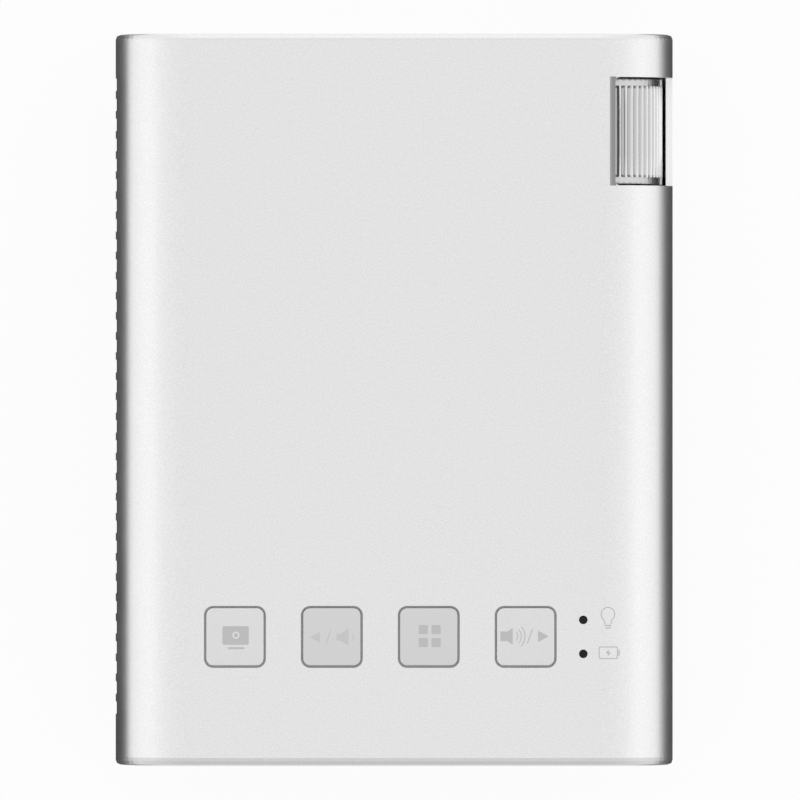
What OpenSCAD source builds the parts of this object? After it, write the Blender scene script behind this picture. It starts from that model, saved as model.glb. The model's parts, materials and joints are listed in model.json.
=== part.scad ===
// Pocket LED projector: a flat case with large side radii, four keys, a focus wheel at the right edge and
// air slots along the left edge. +X is the right side, +Y is the lens side, +Z is up.
// The origin is the middle of the footprint, on the surface that the projector stands on.

/* [Case] */
// Width of the case
body_w = 84; // [82:0.5:100]
// Length of the case, front to rear
body_l = 110; // [108:0.5:130]
// Height from the table to the top of the case
body_h = 29; // [28.6:0.1:34]
// Radius of the long edges
side_r = 12; // [10:0.5:13]
// Wall of the covers
wall = 1.2; // [1:0.1:1.6]
// Thickness of the front bezel's visible rim
bezel_t = 1; // [0.8:0.1:1.6]
// Thickness of the rear panel's visible rim
panel_t = 1.2; // [0.8:0.1:1.6]
// Depth of the plug that each end plate puts into the covers
plug_t = 1.2; // [0.8:0.1:1.6]
// Rounding of the end plates' outer edges
rim_round = 0.7; // [0.3:0.1:0.8]
// Gap between neighbouring shells and plates
fit_gap = 0.1; // [0.05:0.05:0.15]
// Height of the tongue that lines up the covers on the right side
tongue_h = 1.2; // [0.6:0.1:2]
// Thickness of that tongue
tongue_t = 0.8; // [0.6:0.1:1]

/* [Keys] */
// Side of a key's opening
key_open = 9.3; // [8:0.1:10.5]
// Gap round a keycap
key_gap = 0.3; // [0.2:0.05:0.5]
// Corner radius of a key's opening
key_r = 1.4; // [0.8:0.1:2]
// Middle of the first key, from the left edge of the flat top
key_inset = 6.1; // [5.8:0.1:7]
// Distance from the last key to the indicators
key_to_led = 8.65; // [7.5:0.05:10]
// Row of the keys, from the rear end
key_from_rear = 19.4; // [18.8:0.1:20.5]
// Travel of a key
key_travel = 0.45; // [0.2:0.05:0.5]
// Thickness of the flange that holds a key in
key_flange_t = 1; // [0.6:0.1:1.2]
// Side of a key switch
switch_w = 5.2; // [4:0.1:7]
// Height of a key switch
switch_h = 1.7; // [1.3:0.1:2]

/* [Indicators] */
// Diameter of an indicator window
led_d = 1.3; // [1:0.1:2]
// Indicators, from the right edge of the flat top
led_inset = 1.6; // [1.4:0.1:3]
// Distance between the indicators
led_pitch = 5.1; // [4:0.1:7]

/* [Air slots] */
// Width of a slot
vent_w = 1.9; // [1:0.1:2.2]
// Distance between neighbouring slots
vent_pitch = 3.03; // [2.8:0.01:3.1]
// Height of a slot
vent_h = 8.4; // [5:0.1:9]
// Middle of the first slot, from the front end
vent_from_front = 7.5; // [7:0.1:9]
// Least distance from the last slot's middle to the rear end
vent_from_rear = 8.5; // [8:0.1:10]
// Thickness of the dust screen behind the slots
screen_t = 0.4; // [0.3:0.1:0.6]

/* [Focus wheel] */
// Wall of the wheel
ring_t = 3; // [2.9:0.1:3.8]
// Gap between the wheel and the floor of the case
ring_floor_gap = 0.8; // [0.6:0.1:1.2]
// Width of the ledge that shows beside the wheel
ledge_w = 1; // [0.8:0.1:1.2]
// Length of the wheel
ring_l = 15.7; // [14:0.1:16]
// Front end of the wheel, from the front of the case
ring_from_front = 6.8; // [6.6:0.1:7.5]
// Length of the smooth collar at each end of the wheel
collar_l = 1; // [0.5:0.1:2]
// Number of ribs
rib_n = 68; // [40:1:72]
// Depth of the grooves between the ribs
rib_depth = 0.35; // [0.2:0.05:0.5]
// Left edge of the wheel's notch in the top cover, from the right side
notch_w = 9.55; // [9:0.05:10]
// Gap between the wheel's ends and the notch
notch_gap = 0.3; // [0.2:0.05:0.5]
// Width of the bevel along the notch's left edge
notch_bevel = 0.8; // [0.4:0.1:1]
// Corner radius of the notch
notch_r = 0.7; // [0.3:0.1:1]
// Clearance between the wheel and the covers beside it
ring_clear = 0.5; // [0.3:0.1:0.6]

/* [Lens] */
// Wall of the lens barrel
barrel_t = 1; // [0.8:0.1:1.4]
// Length of the lens barrel
barrel_l = 27.5; // [26:0.5:28]
// Running clearance of the barrel and the wheel
run_gap = 0.08; // [0.05:0.01:0.1]
// Wall of the guide tube between barrel and wheel
guide_t = 1.1; // [0.9:0.1:1.3]
// Focus travel of the barrel to each side
focus_travel = 1.2; // [0.5:0.1:1.3]
// Thickness of the front lens
front_lens_t = 4.4; // [3:0.1:5]
// Thickness of the rear lens
rear_lens_t = 3; // [2:0.1:4]
// Radius of curvature of the front lens
front_lens_curve = 15; // [12:0.5:30]

/* [Light engine] */
// Length of the engine housing along the width of the case
engine_w = 44.8; // [44:0.1:45.5]
// Depth of the engine housing, front to rear
engine_d = 20; // [19.5:0.1:21]
// Wall of the engine housing
engine_t = 1.2; // [1:0.1:1.4]
// Thickness of the lid
lid_t = 1.2; // [0.8:0.1:1.4]
// Side of the prism
prism_w = 12; // [10:0.1:13]
// Radius of the collimator lenses
collimator_r = 3.8; // [3:0.1:4]
// Radius of the relay lens
relay_r = 5; // [4:0.1:5.5]
// Side of the fly-eye plate
fly_w = 9; // [7:0.1:10]

/* [Cooling] */
// Gap above and below the fan
fan_gap = 0.4; // [0.3:0.1:0.8]
// Room between the left wall and the fan
plenum_w = 8.9; // [8.6:0.1:11]
// Depth of the fan
fan_d = 8; // [6:0.1:8.5]
// Rim of the fan's frame beyond the blade tips
fan_rim = 1.3; // [1:0.1:2]
// Hub radius of the rotor
hub_r = 5.2; // [4:0.1:6]
// Number of blades
blade_n = 7; // [5:1:11]
// Distance between neighbouring fins
fin_pitch = 2.15; // [1.8:0.05:3]
// Thickness of a fin
fin_t = 0.6; // [0.4:0.1:0.8]
// Thickness of the heat sink's base
sink_base_t = 2; // [1.5:0.1:2.2]

/* [Boards and battery] */
// Thickness of the circuit boards
board_t = 1.2; // [1:0.1:1.4]
// Main board's underside, below the joint of the covers
board_drop = 1.3; // [1.1:0.1:1.5]
// Key board's underside, below the roof of the case
key_board_drop = 5.2; // [5:0.1:5.6]
// Depth of the key board, front to rear
key_board_d = 17.2; // [16.6:0.1:17.4]
// Gap round the battery cells
cell_gap = 0.2; // [0.1:0.1:0.5]
// Room for swelling above the battery cells
cell_swell = 1.1; // [0.8:0.1:2]

/* [Stand] */
// Height of the rubber feet below the case
foot_h = 0.8; // [0.6:0.1:1]
// Radius of a rubber foot
foot_r = 4.2; // [3.5:0.1:4.4]
// Depth of a foot's recess
foot_sink = 0.5; // [0.3:0.1:0.6]
// Solid floor between the front left foot and the fold-out foot's pocket
prop_side = 5.6; // [4:0.1:8]
// Length of the fold-out foot, from its hinge
prop_l = 19.5; // [14:0.5:20]
// Thickness of the fold-out foot
prop_t = 1.8; // [1.6:0.1:2]
// Radius of the hinge pin
hinge_r = 0.5; // [0.4:0.05:0.6]
// Radius of the tripod thread's wall
tripod_r = 2.6; // [2.4:0.05:2.7]
// Depth of the tripod thread
tripod_l = 6; // [5:0.1:6.2]

/* [Hidden] */

$fn = 64;
eps = 0.01;

// The case
half_w = body_w / 2;
flat_w = body_w - 2 * side_r;
front_y = body_l / 2;
rear_y = -body_l / 2;
shell_y1 = front_y - bezel_t;
shell_y0 = rear_y + panel_t;
plug_y1 = shell_y1 - plug_t;
plug_y0 = shell_y0 + plug_t;
base_z = foot_h;
floor_z = base_z + wall;
roof_z = body_h - wall;
split_z = (base_z + body_h) / 2;
low_arc_z = base_z + side_r;
high_arc_z = body_h - side_r;
inner_x = half_w - wall;

// Cover screws, and the bosses that they go into
head_r = 1.9;
head_t = 1.4;
head_gap = 0.2;
head_z = base_z + foot_sink + 0.1;
sleeve_t = 0.8;
sleeve_top = head_z + head_t + 2 * wall;
boss_r = 2.4;
boss_gap = 0.4;
boss_end = sleeve_top + 0.2;
cover_screw_r = 0.9;
cover_screw_l = 12;
screw_x = flat_w / 2 - 1;
front_foot_y = front_y - 9;
rear_foot_y = rear_y + 8;

// Focus wheel and lens
ring_r = split_z - floor_z - ring_floor_gap;
axis_x = half_w - ledge_w - ring_clear - ring_r;
axis_z = split_z;
ring_y1 = front_y - ring_from_front;
ring_y0 = ring_y1 - ring_l;
notch_x = half_w - notch_w;
notch_y1 = ring_y1 + notch_gap;
notch_y0 = ring_y0 - notch_gap;
ring_bore = ring_r - ring_t;
guide_r1 = ring_bore - run_gap;
guide_r0 = guide_r1 - guide_t;
barrel_r = guide_r0 - run_gap;
retainer_t = 0.8;
retainer_rim = 1.3;
guide_y1 = ring_y1 + notch_gap + retainer_t;
flange_t = 2;
shoulder_r = guide_r1 + retainer_rim + 0.1;
barrel_y1 = guide_y1 + 0.8;
barrel_y0 = barrel_y1 - barrel_l;
glass_gap = 0.05;
glass_r = barrel_r - barrel_t - glass_gap;
glass_recess = 1.1;
pin_y = (ring_y0 + ring_y1) / 2;
pin_r = 0.7;
pin_seat = 0.8;
cam_depth = 0.9;
cam_w = 2 * (focus_travel + pin_r + 1.3);
pin_top = ring_bore + cam_depth - 0.2;
surround_r = barrel_r + 1.3;
surround_t = 1.2;
surround_y0 = plug_y1 - 1.4;
front_screw_x = axis_x - ring_r - ring_clear - boss_r - 0.4;
feet = [
    [-screw_x, front_foot_y], [screw_x, front_foot_y],
    [-screw_x, rear_foot_y], [screw_x, rear_foot_y]
];
screw_spots = [
    [-screw_x, front_foot_y], [front_screw_x, front_foot_y + 1],
    [-screw_x, rear_foot_y], [screw_x, rear_foot_y]
];

// Air slots and the screen behind them
vent_n = 1 + floor((body_l - vent_from_front - vent_from_rear) / vent_pitch);
screen_h = vent_h - 0.2;
screen_arc = max(0, (screen_h - body_h + base_z) / 2 + side_r);
screen_x = side_r - wall - sqrt(pow(side_r - wall, 2) - pow(screen_arc, 2)) + fit_gap - inner_x;

// Keys and indicators
led_x = flat_w / 2 - led_inset;
key_x = key_inset - flat_w / 2;
key_pitch = (led_x - key_to_led - key_x) / 3;
key_y = rear_y + key_from_rear;
key_cap = key_open - 2 * key_gap;
key_flange = key_open + 1.2;
key_flange_gap = 0.2;
key_board_z = roof_z - key_board_drop;
key_board_top = key_board_z + board_t;
switch_top = key_board_top + switch_h;
stem_r = 1;
stem_well = 0.5;
well_floor = 0.4;
stem_end = key_board_top + well_floor + key_travel + 0.15;
led_hole_r = led_d / 2;
led_pipe_gap = 0.05;
led_chip_h = 0.6;
led_chip_w = 1.6;
key_board_x0 = key_x - switch_w / 2 - 0.2;
key_board_x1 = led_x + 2.4;
key_post_r = 1.5;
key_post_y = key_board_d / 2 - key_post_r - 1.3;
key_posts = [
    for (i = [0.5, 2.5], j = [-1, 1])
        [key_x + i * key_pitch, key_y + j * key_post_y]
];

// Light engine: its housing ends behind the lens mount
engine_y1 = ring_y0 - 10.5;
engine_y0 = engine_y1 - engine_d;
engine_x1 = axis_x + prism_w / 2 + 2.6;
engine_x0 = engine_x1 - engine_w;
optic_gap = 0.1;
engine_floor = axis_z - prism_w / 2 - optic_gap - 1.1;
engine_z0 = engine_floor - engine_t;
engine_z1 = axis_z + prism_w / 2 + 2.6;
light_y = engine_y0 + engine_t + prism_w / 2 + 1.8;
mirror_x = engine_x0 + 9.3;
fly_x = mirror_x + 8.2;
relay_x = fly_x + 7;
relay_t = 3;
fly_t = 1.6;
collimator_t = 2.6;
collimator_x = engine_x0 + engine_t + 0.2;
mirror_l = 8;
mirror_t = 0.8;
saddle_rim = 0.8;
saddle_drop = 1.5;
chip_w = 9;
chip_h = 8;
led_chip_side = 3.2;
led_board_t = 1.4;
led_board_w = 14;
ear_r = 2.6;
ear_t = 1.6;
ears = [
    [engine_x0 + 0.29 * engine_w, engine_y1 + ear_r],
    [engine_x0 + 0.47 * engine_w, engine_y0 - ear_r]
];

// Cooling
led_gap = 0.1;
led_board_x1 = engine_x0 - led_gap;
sink_x1 = led_board_x1 - led_board_t - led_gap;
fan_w = roof_z - floor_z - 2 * fan_gap;
rotor_r = fan_w / 2 - fan_rim;
fan_x0 = plenum_w - inner_x;
fan_x1 = fan_x0 + fan_d;
sink_x0 = fan_x1 + 0.5;
sink_fin_y0 = engine_y0 + 1;
sink_y1 = sink_fin_y0 + fan_w;
sink_z0 = floor_z + 2.2;
sink_z1 = roof_z - 1;
fan_y = sink_fin_y0 + fan_w / 2;
fan_z = (floor_z + roof_z) / 2;
fan_bore = rotor_r + 0.4;
fan_plate_t = 1;
fan_arm_w = 1.6;
hub_t = 0.8;
blade_t = 0.6;
blade_pitch = 40;
shaft_r = 0.7;
shaft_gap = 0.05;
bearing_r = 1.7;
spreader_t = 1.4;
spreader_y1 = engine_y0 - 2 * led_gap - led_board_t;
sink_y0 = spreader_y1 - spreader_t - 1.5;

// Tripod thread, between the engine and the battery
nut_r = 4.4;
nut_neck_r = 3.4;
nut_cap = 0.8;
nut_top = base_z + tripod_l + nut_cap;
nut_wall = 1.2;
tripod_y = engine_y0 - nut_r - nut_wall - 0.6;

// Boards, battery and sockets
board_z = split_z - board_drop;
board_top = board_z + board_t;
board_x = inner_x - 3.3;
board_y0 = plug_y0 + 0.6;
board_y1 = engine_y0 - 10;
board_d = board_y1 - board_y0;
post_r = 2;
post_inset = 3.5;
board_posts = [
    for (i = [-1, 1], j = [0.41, 0.91])
        [i * (board_x - post_inset), board_y0 + j * board_d]
];
screw_r = 0.75;
screw_gap = 0.05;
screw_head_r = 1.6;
screw_head_t = 1;
screw_bite = 4.6;
key_screw_bite = 3.2;
protector_t = 1;
protector_h = 7;
cell_inset = 9.2;
cell_z0 = floor_z + 0.5;
cell_h = board_z - cell_swell - cell_z0;
cell_y0 = board_y0 + 1.6;
cell_y1 = tripod_y - nut_r - nut_wall - protector_t - 1.6;
port_span = 2 * (screw_x - boss_r - boss_gap - 0.1);
cell_w = (port_span - cell_gap) / 2 - 0.8;
socket_y0 = shell_y0 - 0.4;
port_gap = 0.2;
port_wall = 0.4;
port_back = 2.5;
hdmi_tongue_w = 10.8;
hdmi_tongue_z = 2.6;
hdmi_tongue_t = 0.8;
usb_tongue_w = 11;
usb_tongue_z = 3.3;
usb_tongue_t = 1.8;
dc_w = 8.4;
dc_h = 7;
dc_l = 11;
dc_r = 2.8;
dc_pin_r = 0.85;
dc_mouth_r = 3.4;
hdmi_w = 15;
hdmi_h = 5.8;
hdmi_l = 11.5;
usb_w = 13.2;
usb_h = 5.8;
usb_l = 13;
audio_w = 6;
audio_h = 5;
audio_l = 11;
audio_r = 1.8;
audio_mouth_r = 2.9;
port_space = (port_span - dc_w - hdmi_w - usb_w - audio_w) / 5;
dc_x = port_space + dc_w / 2 - port_span / 2;
hdmi_x = dc_x + dc_w / 2 + port_space + hdmi_w / 2;
usb_x = hdmi_x + hdmi_w / 2 + port_space + usb_w / 2;
audio_x = usb_x + usb_w / 2 + port_space + audio_w / 2;
audio_z = board_top + audio_h / 2;
switch_case_w = 6.4;
switch_case_h = 4;
switch_case_l = 5;
switch_case_y0 = plug_y0 + 1.5;
switch_x = board_x - switch_case_w / 2 + 0.9;
slider_w = 2.6;
slider_h = 2;
slider_base = 0.9;
slider_travel = 2.4;
slider_z = board_top + switch_case_h / 2;
connector_w = 4.8;
connector_d = 3.9;
connector_h = 3;
ribbon_t = 0.25;
ribbon_w = 10;
ribbon_x = axis_x - 3.4;
key_ribbon_w = 8;
key_ribbon_x = key_x + 1.5;
ribbon_socket_h = 1.6;
ribbon_socket_rim = 0.4;
key_fold_y = key_y + key_board_d / 2 + 1.2;
key_socket_y = key_fold_y + 2.3;
key_socket_d = 4;
engine_socket_y = board_y1 - 5.4;
engine_socket_d = 2.8;
chip_zone_y0 = socket_y0 + usb_l + 2.4;
chip_zone = board_y1 - 8 - chip_zone_y0;
speaker_x0 = boss_r + 2.1 - screw_x;
speaker_x1 = front_screw_x - boss_r - 3.1;
speaker_x = (speaker_x0 + speaker_x1) / 2;
speaker_h = 14;
speaker_t = 5;
speaker_y1 = plug_y1 - 0.2;
magnet_r = 6;
magnet_t = 4;

// Stand
foot_t = foot_h + foot_sink;
foot_rim = 1;
prop_gap = 0.3;
prop_cheek = 1.9;
prop_x0 = foot_r + foot_rim - screw_x + prop_side + prop_cheek + prop_gap;
prop_x1 = front_screw_x - head_r - head_gap - prop_cheek - prop_gap - 0.7;
plate_z0 = base_z + 0.1;
hinge_y = front_y - 8.5;
hinge_z = plate_z0 + prop_t / 2 + 0.15;
prop_y0 = hinge_y - prop_l;
pocket_roof = plate_z0 + prop_t + 0.4;
pocket_t = 1;
nail_gap = 2.6;
nail_w = 8;
knuckle_r = hinge_z - base_z - 0.05;

// Leads, as points from the engine's rear face and the main board's top
wire_r = 0.6;
function routed(x, points) = [for (p = points) p + [x, engine_y0, board_top]];
speaker_route = routed(axis_x, [
    [-24.4, 44.8, -4.8], [-24.4, 43, -5.2], [-23.4, 40, -6.4], [-21.4, 36, -8.4], [-17.4, 31, -10.2],
    [-13.4, 26, -10.6], [-11.6, 20, -10.6], [-11.6, 12, -10.6], [-11.6, 2, -10.6], [-11.6, -3, -10],
    [-11.6, -6.4, -6.8], [-11.6, -7.2, -2.8], [-11.6, -8.4, 0.8], [-11.6, -11.4, 1.7],
    [-11.6, -13.4, 1.7]
]);
fan_route = routed((fan_x0 + fan_x1) / 2 - 1.6, [
    [0, 0.6, 7.2], [0, -1, 7.2], [0, -4, 6.6], [0, -6.6, 4.6], [0, -8.6, 2.4], [0, -11, 1.7],
    [0, -13.4, 1.7]
]);
battery_route = routed(0, [
    [-8, -13.1, -5.8], [-8, -12.4, -5.6], [-8, -11.4, -5], [-8, -9.6, -3.6], [-8, -8.8, -1.8],
    [-8, -8.8, 0], [-8, -9.8, 1.4], [-8, -11.6, 1.7], [-8, -13.4, 1.7]
]);

// Rounded outline of the case across its length, drawn in by d
module case_outline(d) {
    straight_h = body_h - base_z - 2 * side_r;
    translate([-flat_w / 2, base_z + d])
        square([flat_w, body_h - base_z - 2 * d]);
    translate([-half_w + d, low_arc_z])
        square([body_w - 2 * d, straight_h]);
    for (x = [-flat_w / 2, flat_w / 2], z = [low_arc_z, high_arc_z])
        translate([x, z])
            circle(r = side_r - d);
}

// Length of the case from y0 to y1, drawn in by d
module case_bar(d, y0, y1) {
    translate([0, y1, 0])
        rotate([90, 0, 0])
            linear_extrude(y1 - y0)
                case_outline(d);
}

// Box between two corners
module box(a, b) {
    translate(a)
        cube(b - a);
}

// Round bar along +Y
module y_rod(x, z, r, y0, y1) {
    translate([x, y1, z])
        rotate([90, 0, 0])
            cylinder(r = r, h = y1 - y0);
}

// Round bar along +X
module x_rod(y, z, r, x0, x1) {
    translate([x0, y, z])
        rotate([0, 90, 0])
            cylinder(r = r, h = x1 - x0);
}

// Upright round bar
module z_rod(x, y, r, z0, z1) {
    translate([x, y, z0])
        cylinder(r = r, h = z1 - z0);
}

// Square with round corners, standing up from z0 to z1
module round_block(x, y, w, r, z0, z1) {
    translate([x, y, z0])
        linear_extrude(z1 - z0)
            union() {
                square([w - 2 * r, w], center = true);
                square([w, w - 2 * r], center = true);
                for (i = [-1, 1], j = [-1, 1])
                    translate([i * (w / 2 - r), j * (w / 2 - r)])
                        circle(r = r);
            }
}

// Air slots through the left side
module air_slots() {
    for (i = [0:vent_n - 1])
        let (y = front_y - vent_from_front - i * vent_pitch)
            box(
                [-half_w - 1, y - vent_w / 2, split_z - vent_h / 2],
                [-inner_x + 2, y + vent_w / 2, split_z + vent_h / 2]
            );
}

// Space round the focus wheel, cut out of both covers
module wheel_space() {
    y_rod(axis_x, axis_z, ring_r + ring_clear, notch_y0, notch_y1);
}

// Opening of the focus wheel in the top cover
module wheel_notch() {
    translate([0, 0, base_z])
        linear_extrude(body_h)
            union() {
                translate([notch_x + notch_bevel + notch_r, notch_y0])
                    square([notch_w, notch_y1 - notch_y0]);
                translate([notch_x + notch_bevel, notch_y0 + notch_r])
                    square([notch_w, notch_y1 - notch_y0 - 2 * notch_r]);
                for (y = [notch_y0 + notch_r, notch_y1 - notch_r])
                    translate([notch_x + notch_bevel + notch_r, y])
                        circle(r = notch_r);
            }
    translate([0, notch_y1, 0])
        rotate([90, 0, 0])
            linear_extrude(notch_y1 - notch_y0)
                polygon([
                    [notch_x, body_h + eps],
                    [notch_x + notch_bevel + 1, body_h + eps],
                    [notch_x + notch_bevel + 1, roof_z - eps],
                    [notch_x + notch_bevel, roof_z - eps]
                ]);
}

module top_cover() {
    color("#dfe0e1")
        difference() {
            union() {
                difference() {
                    case_bar(0, shell_y0, shell_y1);
                    case_bar(wall, shell_y0 - 1, shell_y1 + 1);
                    box([-half_w - 1, rear_y, -1], [half_w + 1, front_y, split_z + fit_gap / 2]);
                    air_slots();
                    wheel_space();
                }
                for (p = screw_spots)
                    z_rod(p[0], p[1], boss_r, boss_end, roof_z + wall / 2);
                for (p = key_posts)
                    z_rod(p[0], p[1], key_post_r, key_board_top, roof_z + wall / 4);
            }
            wheel_notch();
            for (i = [0:3])
                round_block(key_x + i * key_pitch, key_y, key_open, key_r, roof_z - 1, body_h + 1);
            for (j = [-1, 1])
                z_rod(led_x, key_y + j * led_pitch / 2, led_hole_r, roof_z - 1, body_h + 1);
            for (p = screw_spots)
                z_rod(p[0], p[1], cover_screw_r + screw_gap, boss_end - 1, head_z + cover_screw_l + 2);
            for (p = key_posts)
                z_rod(p[0], p[1], screw_r + screw_gap, key_board_z, key_board_top + key_screw_bite + screw_gap);
        }
}

// Cheeks and roof of the fold-out foot's pocket
module prop_pocket_walls() {
    box(
        [prop_x0 - prop_gap - prop_cheek, prop_y0 - nail_gap - 1, base_z + wall / 2],
        [prop_x1 + prop_gap + prop_cheek, hinge_y + knuckle_r + prop_gap + 1, pocket_roof + pocket_t]
    );
}

module prop_pocket() {
    box(
        [prop_x0 - prop_gap, prop_y0 - prop_gap, base_z - 1],
        [prop_x1 + prop_gap, hinge_y + knuckle_r + prop_gap, pocket_roof]
    );
    box(
        [(prop_x0 + prop_x1 - nail_w) / 2, prop_y0 - nail_gap, base_z - 1],
        [(prop_x0 + prop_x1 + nail_w) / 2, prop_y0, pocket_roof]
    );
}

module bottom_cover() {
    tongue_x = inner_x - fit_gap;
    color("#c9cbcd")
        difference() {
            union() {
                difference() {
                    case_bar(0, shell_y0, shell_y1);
                    case_bar(wall, shell_y0 - 1, shell_y1 + 1);
                    box([-half_w - 1, rear_y, split_z - fit_gap / 2], [half_w + 1, front_y, body_h + 1]);
                    air_slots();
                }
                box([tongue_x - tongue_t, plug_y0 + 1, split_z - 3], [tongue_x, notch_y0 - 1.5, split_z + tongue_h]);
                intersection() {
                    union() {
                        box(
                            [tongue_x - tongue_t, plug_y0 + 1, split_z - 3],
                            [inner_x + eps, notch_y0 - 1.5, split_z - 1]
                        );
                        for (p = board_posts)
                            z_rod(p[0], p[1], post_r, base_z + wall / 2, board_z);
                        for (p = screw_spots)
                            z_rod(p[0], p[1], boss_r + sleeve_t, base_z + wall / 2, sleeve_top);
                        for (p = ears)
                            z_rod(p[0], p[1], post_r, base_z + wall / 2, engine_z0);
                        for (p = feet)
                            z_rod(p[0], p[1], foot_r + foot_rim, base_z + wall / 2, floor_z + wall / 4);
                        prop_pocket_walls();
                        z_rod(0, tripod_y, nut_r + nut_wall, base_z + wall / 2, nut_top);
                    }
                    case_bar(wall / 2, shell_y0, shell_y1);
                }
            }
            wheel_space();
            prop_pocket();
            x_rod(hinge_y, hinge_z, hinge_r + shaft_gap, prop_x0 - prop_cheek + 0.4, prop_x1 + prop_cheek - 0.4);
            for (p = feet)
                z_rod(p[0], p[1], foot_r + fit_gap, base_z - 1, base_z + foot_sink);
            for (p = screw_spots) {
                z_rod(p[0], p[1], head_r + head_gap, base_z - 1, head_z + head_t + head_gap);
                z_rod(p[0], p[1], cover_screw_r + screw_gap, base_z - 1, sleeve_top + 1);
            }
            for (p = board_posts)
                z_rod(p[0], p[1], screw_r + screw_gap, board_z - screw_bite - 0.3, board_z + 1);
            for (p = ears)
                z_rod(p[0], p[1], screw_r + screw_gap, floor_z + 0.4, engine_z0 + 1);
            z_rod(0, tripod_y, nut_r + fit_gap, floor_z, nut_top + 1);
            z_rod(0, tripod_y, nut_neck_r + fit_gap, base_z - 1, floor_z + 1);
        }
}

// End plate: a rounded outer plate on the outline of the case, and a plug that fits into the covers
module end_plate(outer_y, inner_y, plug_y) {
    way = sign(outer_y - inner_y);
    hull()
        for (d = [0, 0.29, 1])
            case_bar(
                d * rim_round,
                min(inner_y, outer_y - way * (1 - d) * rim_round * (d == 0 ? 1 : 0.41)),
                max(inner_y, outer_y - way * (1 - d) * rim_round * (d == 0 ? 1 : 0.41))
            );
    case_bar(wall + fit_gap, min(inner_y, plug_y), max(inner_y, plug_y));
}

module front_bezel() {
    slot_w = 1.4;
    slot_h = 9;
    slot_pitch = 3;
    slot_n = floor((speaker_x1 - speaker_x0) / slot_pitch) - 1;
    color("#c4c6c8")
        difference() {
            end_plate(front_y, shell_y1, plug_y1);
            y_rod(axis_x, axis_z, surround_r + fit_gap, plug_y1 - 1, front_y + 1);
            for (i = [0:slot_n - 1])
                let (x = speaker_x + (i - (slot_n - 1) / 2) * slot_pitch)
                    box(
                        [x - slot_w / 2, plug_y1 - 1, axis_z - slot_h / 2],
                        [x + slot_w / 2, front_y + 1, axis_z + slot_h / 2]
                    );
        }
}

module rear_panel() {
    color("#b9bbbd")
        difference() {
            end_plate(rear_y, shell_y0, plug_y0);
            box(
                [hdmi_x - hdmi_w / 2 - port_gap, rear_y - 1, board_top - port_gap],
                [hdmi_x + hdmi_w / 2 + port_gap, plug_y0 + 1, board_top + hdmi_h + port_gap]
            );
            box(
                [usb_x - usb_w / 2 - port_gap, rear_y - 1, board_top - port_gap],
                [usb_x + usb_w / 2 + port_gap, plug_y0 + 1, board_top + usb_h + port_gap]
            );
            y_rod(dc_x, board_top + dc_h / 2, dc_mouth_r, rear_y - 1, plug_y0 + 1);
            box(
                [dc_x - dc_w / 2 - port_gap, shell_y0 - 0.5, board_top - port_gap],
                [dc_x + dc_w / 2 + port_gap, plug_y0 + 1, board_top + dc_h + port_gap]
            );
            y_rod(audio_x, audio_z, audio_mouth_r, rear_y - 1, plug_y0 + 1);
            box(
                [audio_x - audio_w / 2 - port_gap, shell_y0 - 0.5, board_top - port_gap],
                [audio_x + audio_w / 2 + port_gap, plug_y0 + 1, board_top + audio_h + port_gap]
            );
            box(
                [
                    switch_x - slider_w / 2 - slider_travel / 2 - port_gap,
                    rear_y - 1,
                    slider_z - slider_h / 2 - port_gap
                ],
                [
                    switch_x + slider_w / 2 + slider_travel / 2 + port_gap,
                    plug_y0 + 1,
                    slider_z + slider_h / 2 + port_gap
                ]
            );
        }
}

module dust_screen() {
    screen_y1 = front_y - vent_from_front + vent_w;
    screen_y0 = front_y - vent_from_front - (vent_n - 1) * vent_pitch - vent_w;
    color("#2b2d30")
        box(
            [screen_x, screen_y0, split_z - screen_h / 2],
            [screen_x + screen_t, screen_y1, split_z + screen_h / 2]
        );
}

// One key: cap, flange under the cover, and stem that reaches into its switch
module key(i) {
    x = key_x + i * key_pitch;
    color("#d3d4d6")
        union() {
            round_block(x, key_y, key_cap, key_r - key_gap, roof_z - key_flange_t, body_h);
            round_block(
                x, key_y, key_flange, key_r,
                roof_z - key_flange_gap - key_flange_t, roof_z - key_flange_gap
            );
            z_rod(x, key_y, stem_r, stem_end, roof_z - key_flange_t);
        }
}

module key_display() {
    key(0);
}

module key_back() {
    key(1);
}

module key_menu() {
    key(2);
}

module key_forward() {
    key(3);
}

module key_board() {
    color("#1f5a3a")
        difference() {
            box(
                [key_board_x0, key_y - key_board_d / 2, key_board_z],
                [key_board_x1, key_y + key_board_d / 2, key_board_top]
            );
            for (p = key_posts)
                z_rod(p[0], p[1], screw_r + screw_gap, key_board_z - 1, key_board_top + 1);
        }
}

module key_switches() {
    color("#3a3c40")
        for (i = [0:3])
            difference() {
                box(
                    [key_x + i * key_pitch - switch_w / 2, key_y - switch_w / 2, key_board_top],
                    [key_x + i * key_pitch + switch_w / 2, key_y + switch_w / 2, switch_top]
                );
                z_rod(key_x + i * key_pitch, key_y, stem_r + stem_well, key_board_top + well_floor, switch_top + 1);
            }
}

module light_pipes() {
    pipe_r = led_hole_r - led_pipe_gap;
    color("#3c4046")
        for (j = [-1, 1])
            union() {
                z_rod(led_x, key_y + j * led_pitch / 2, pipe_r, key_board_top + led_chip_h + 0.2, body_h);
                z_rod(led_x, key_y + j * led_pitch / 2, 2 * pipe_r, roof_z - 1, roof_z - 0.1);
            }
}

module indicator_leds() {
    color("#e8e6c8")
        for (j = [-1, 1])
            box(
                [led_x - led_chip_w / 2, key_y + j * led_pitch / 2 - led_chip_w / 4, key_board_top],
                [led_x + led_chip_w / 2, key_y + j * led_pitch / 2 + led_chip_w / 4, key_board_top + led_chip_h]
            );
}

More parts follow.
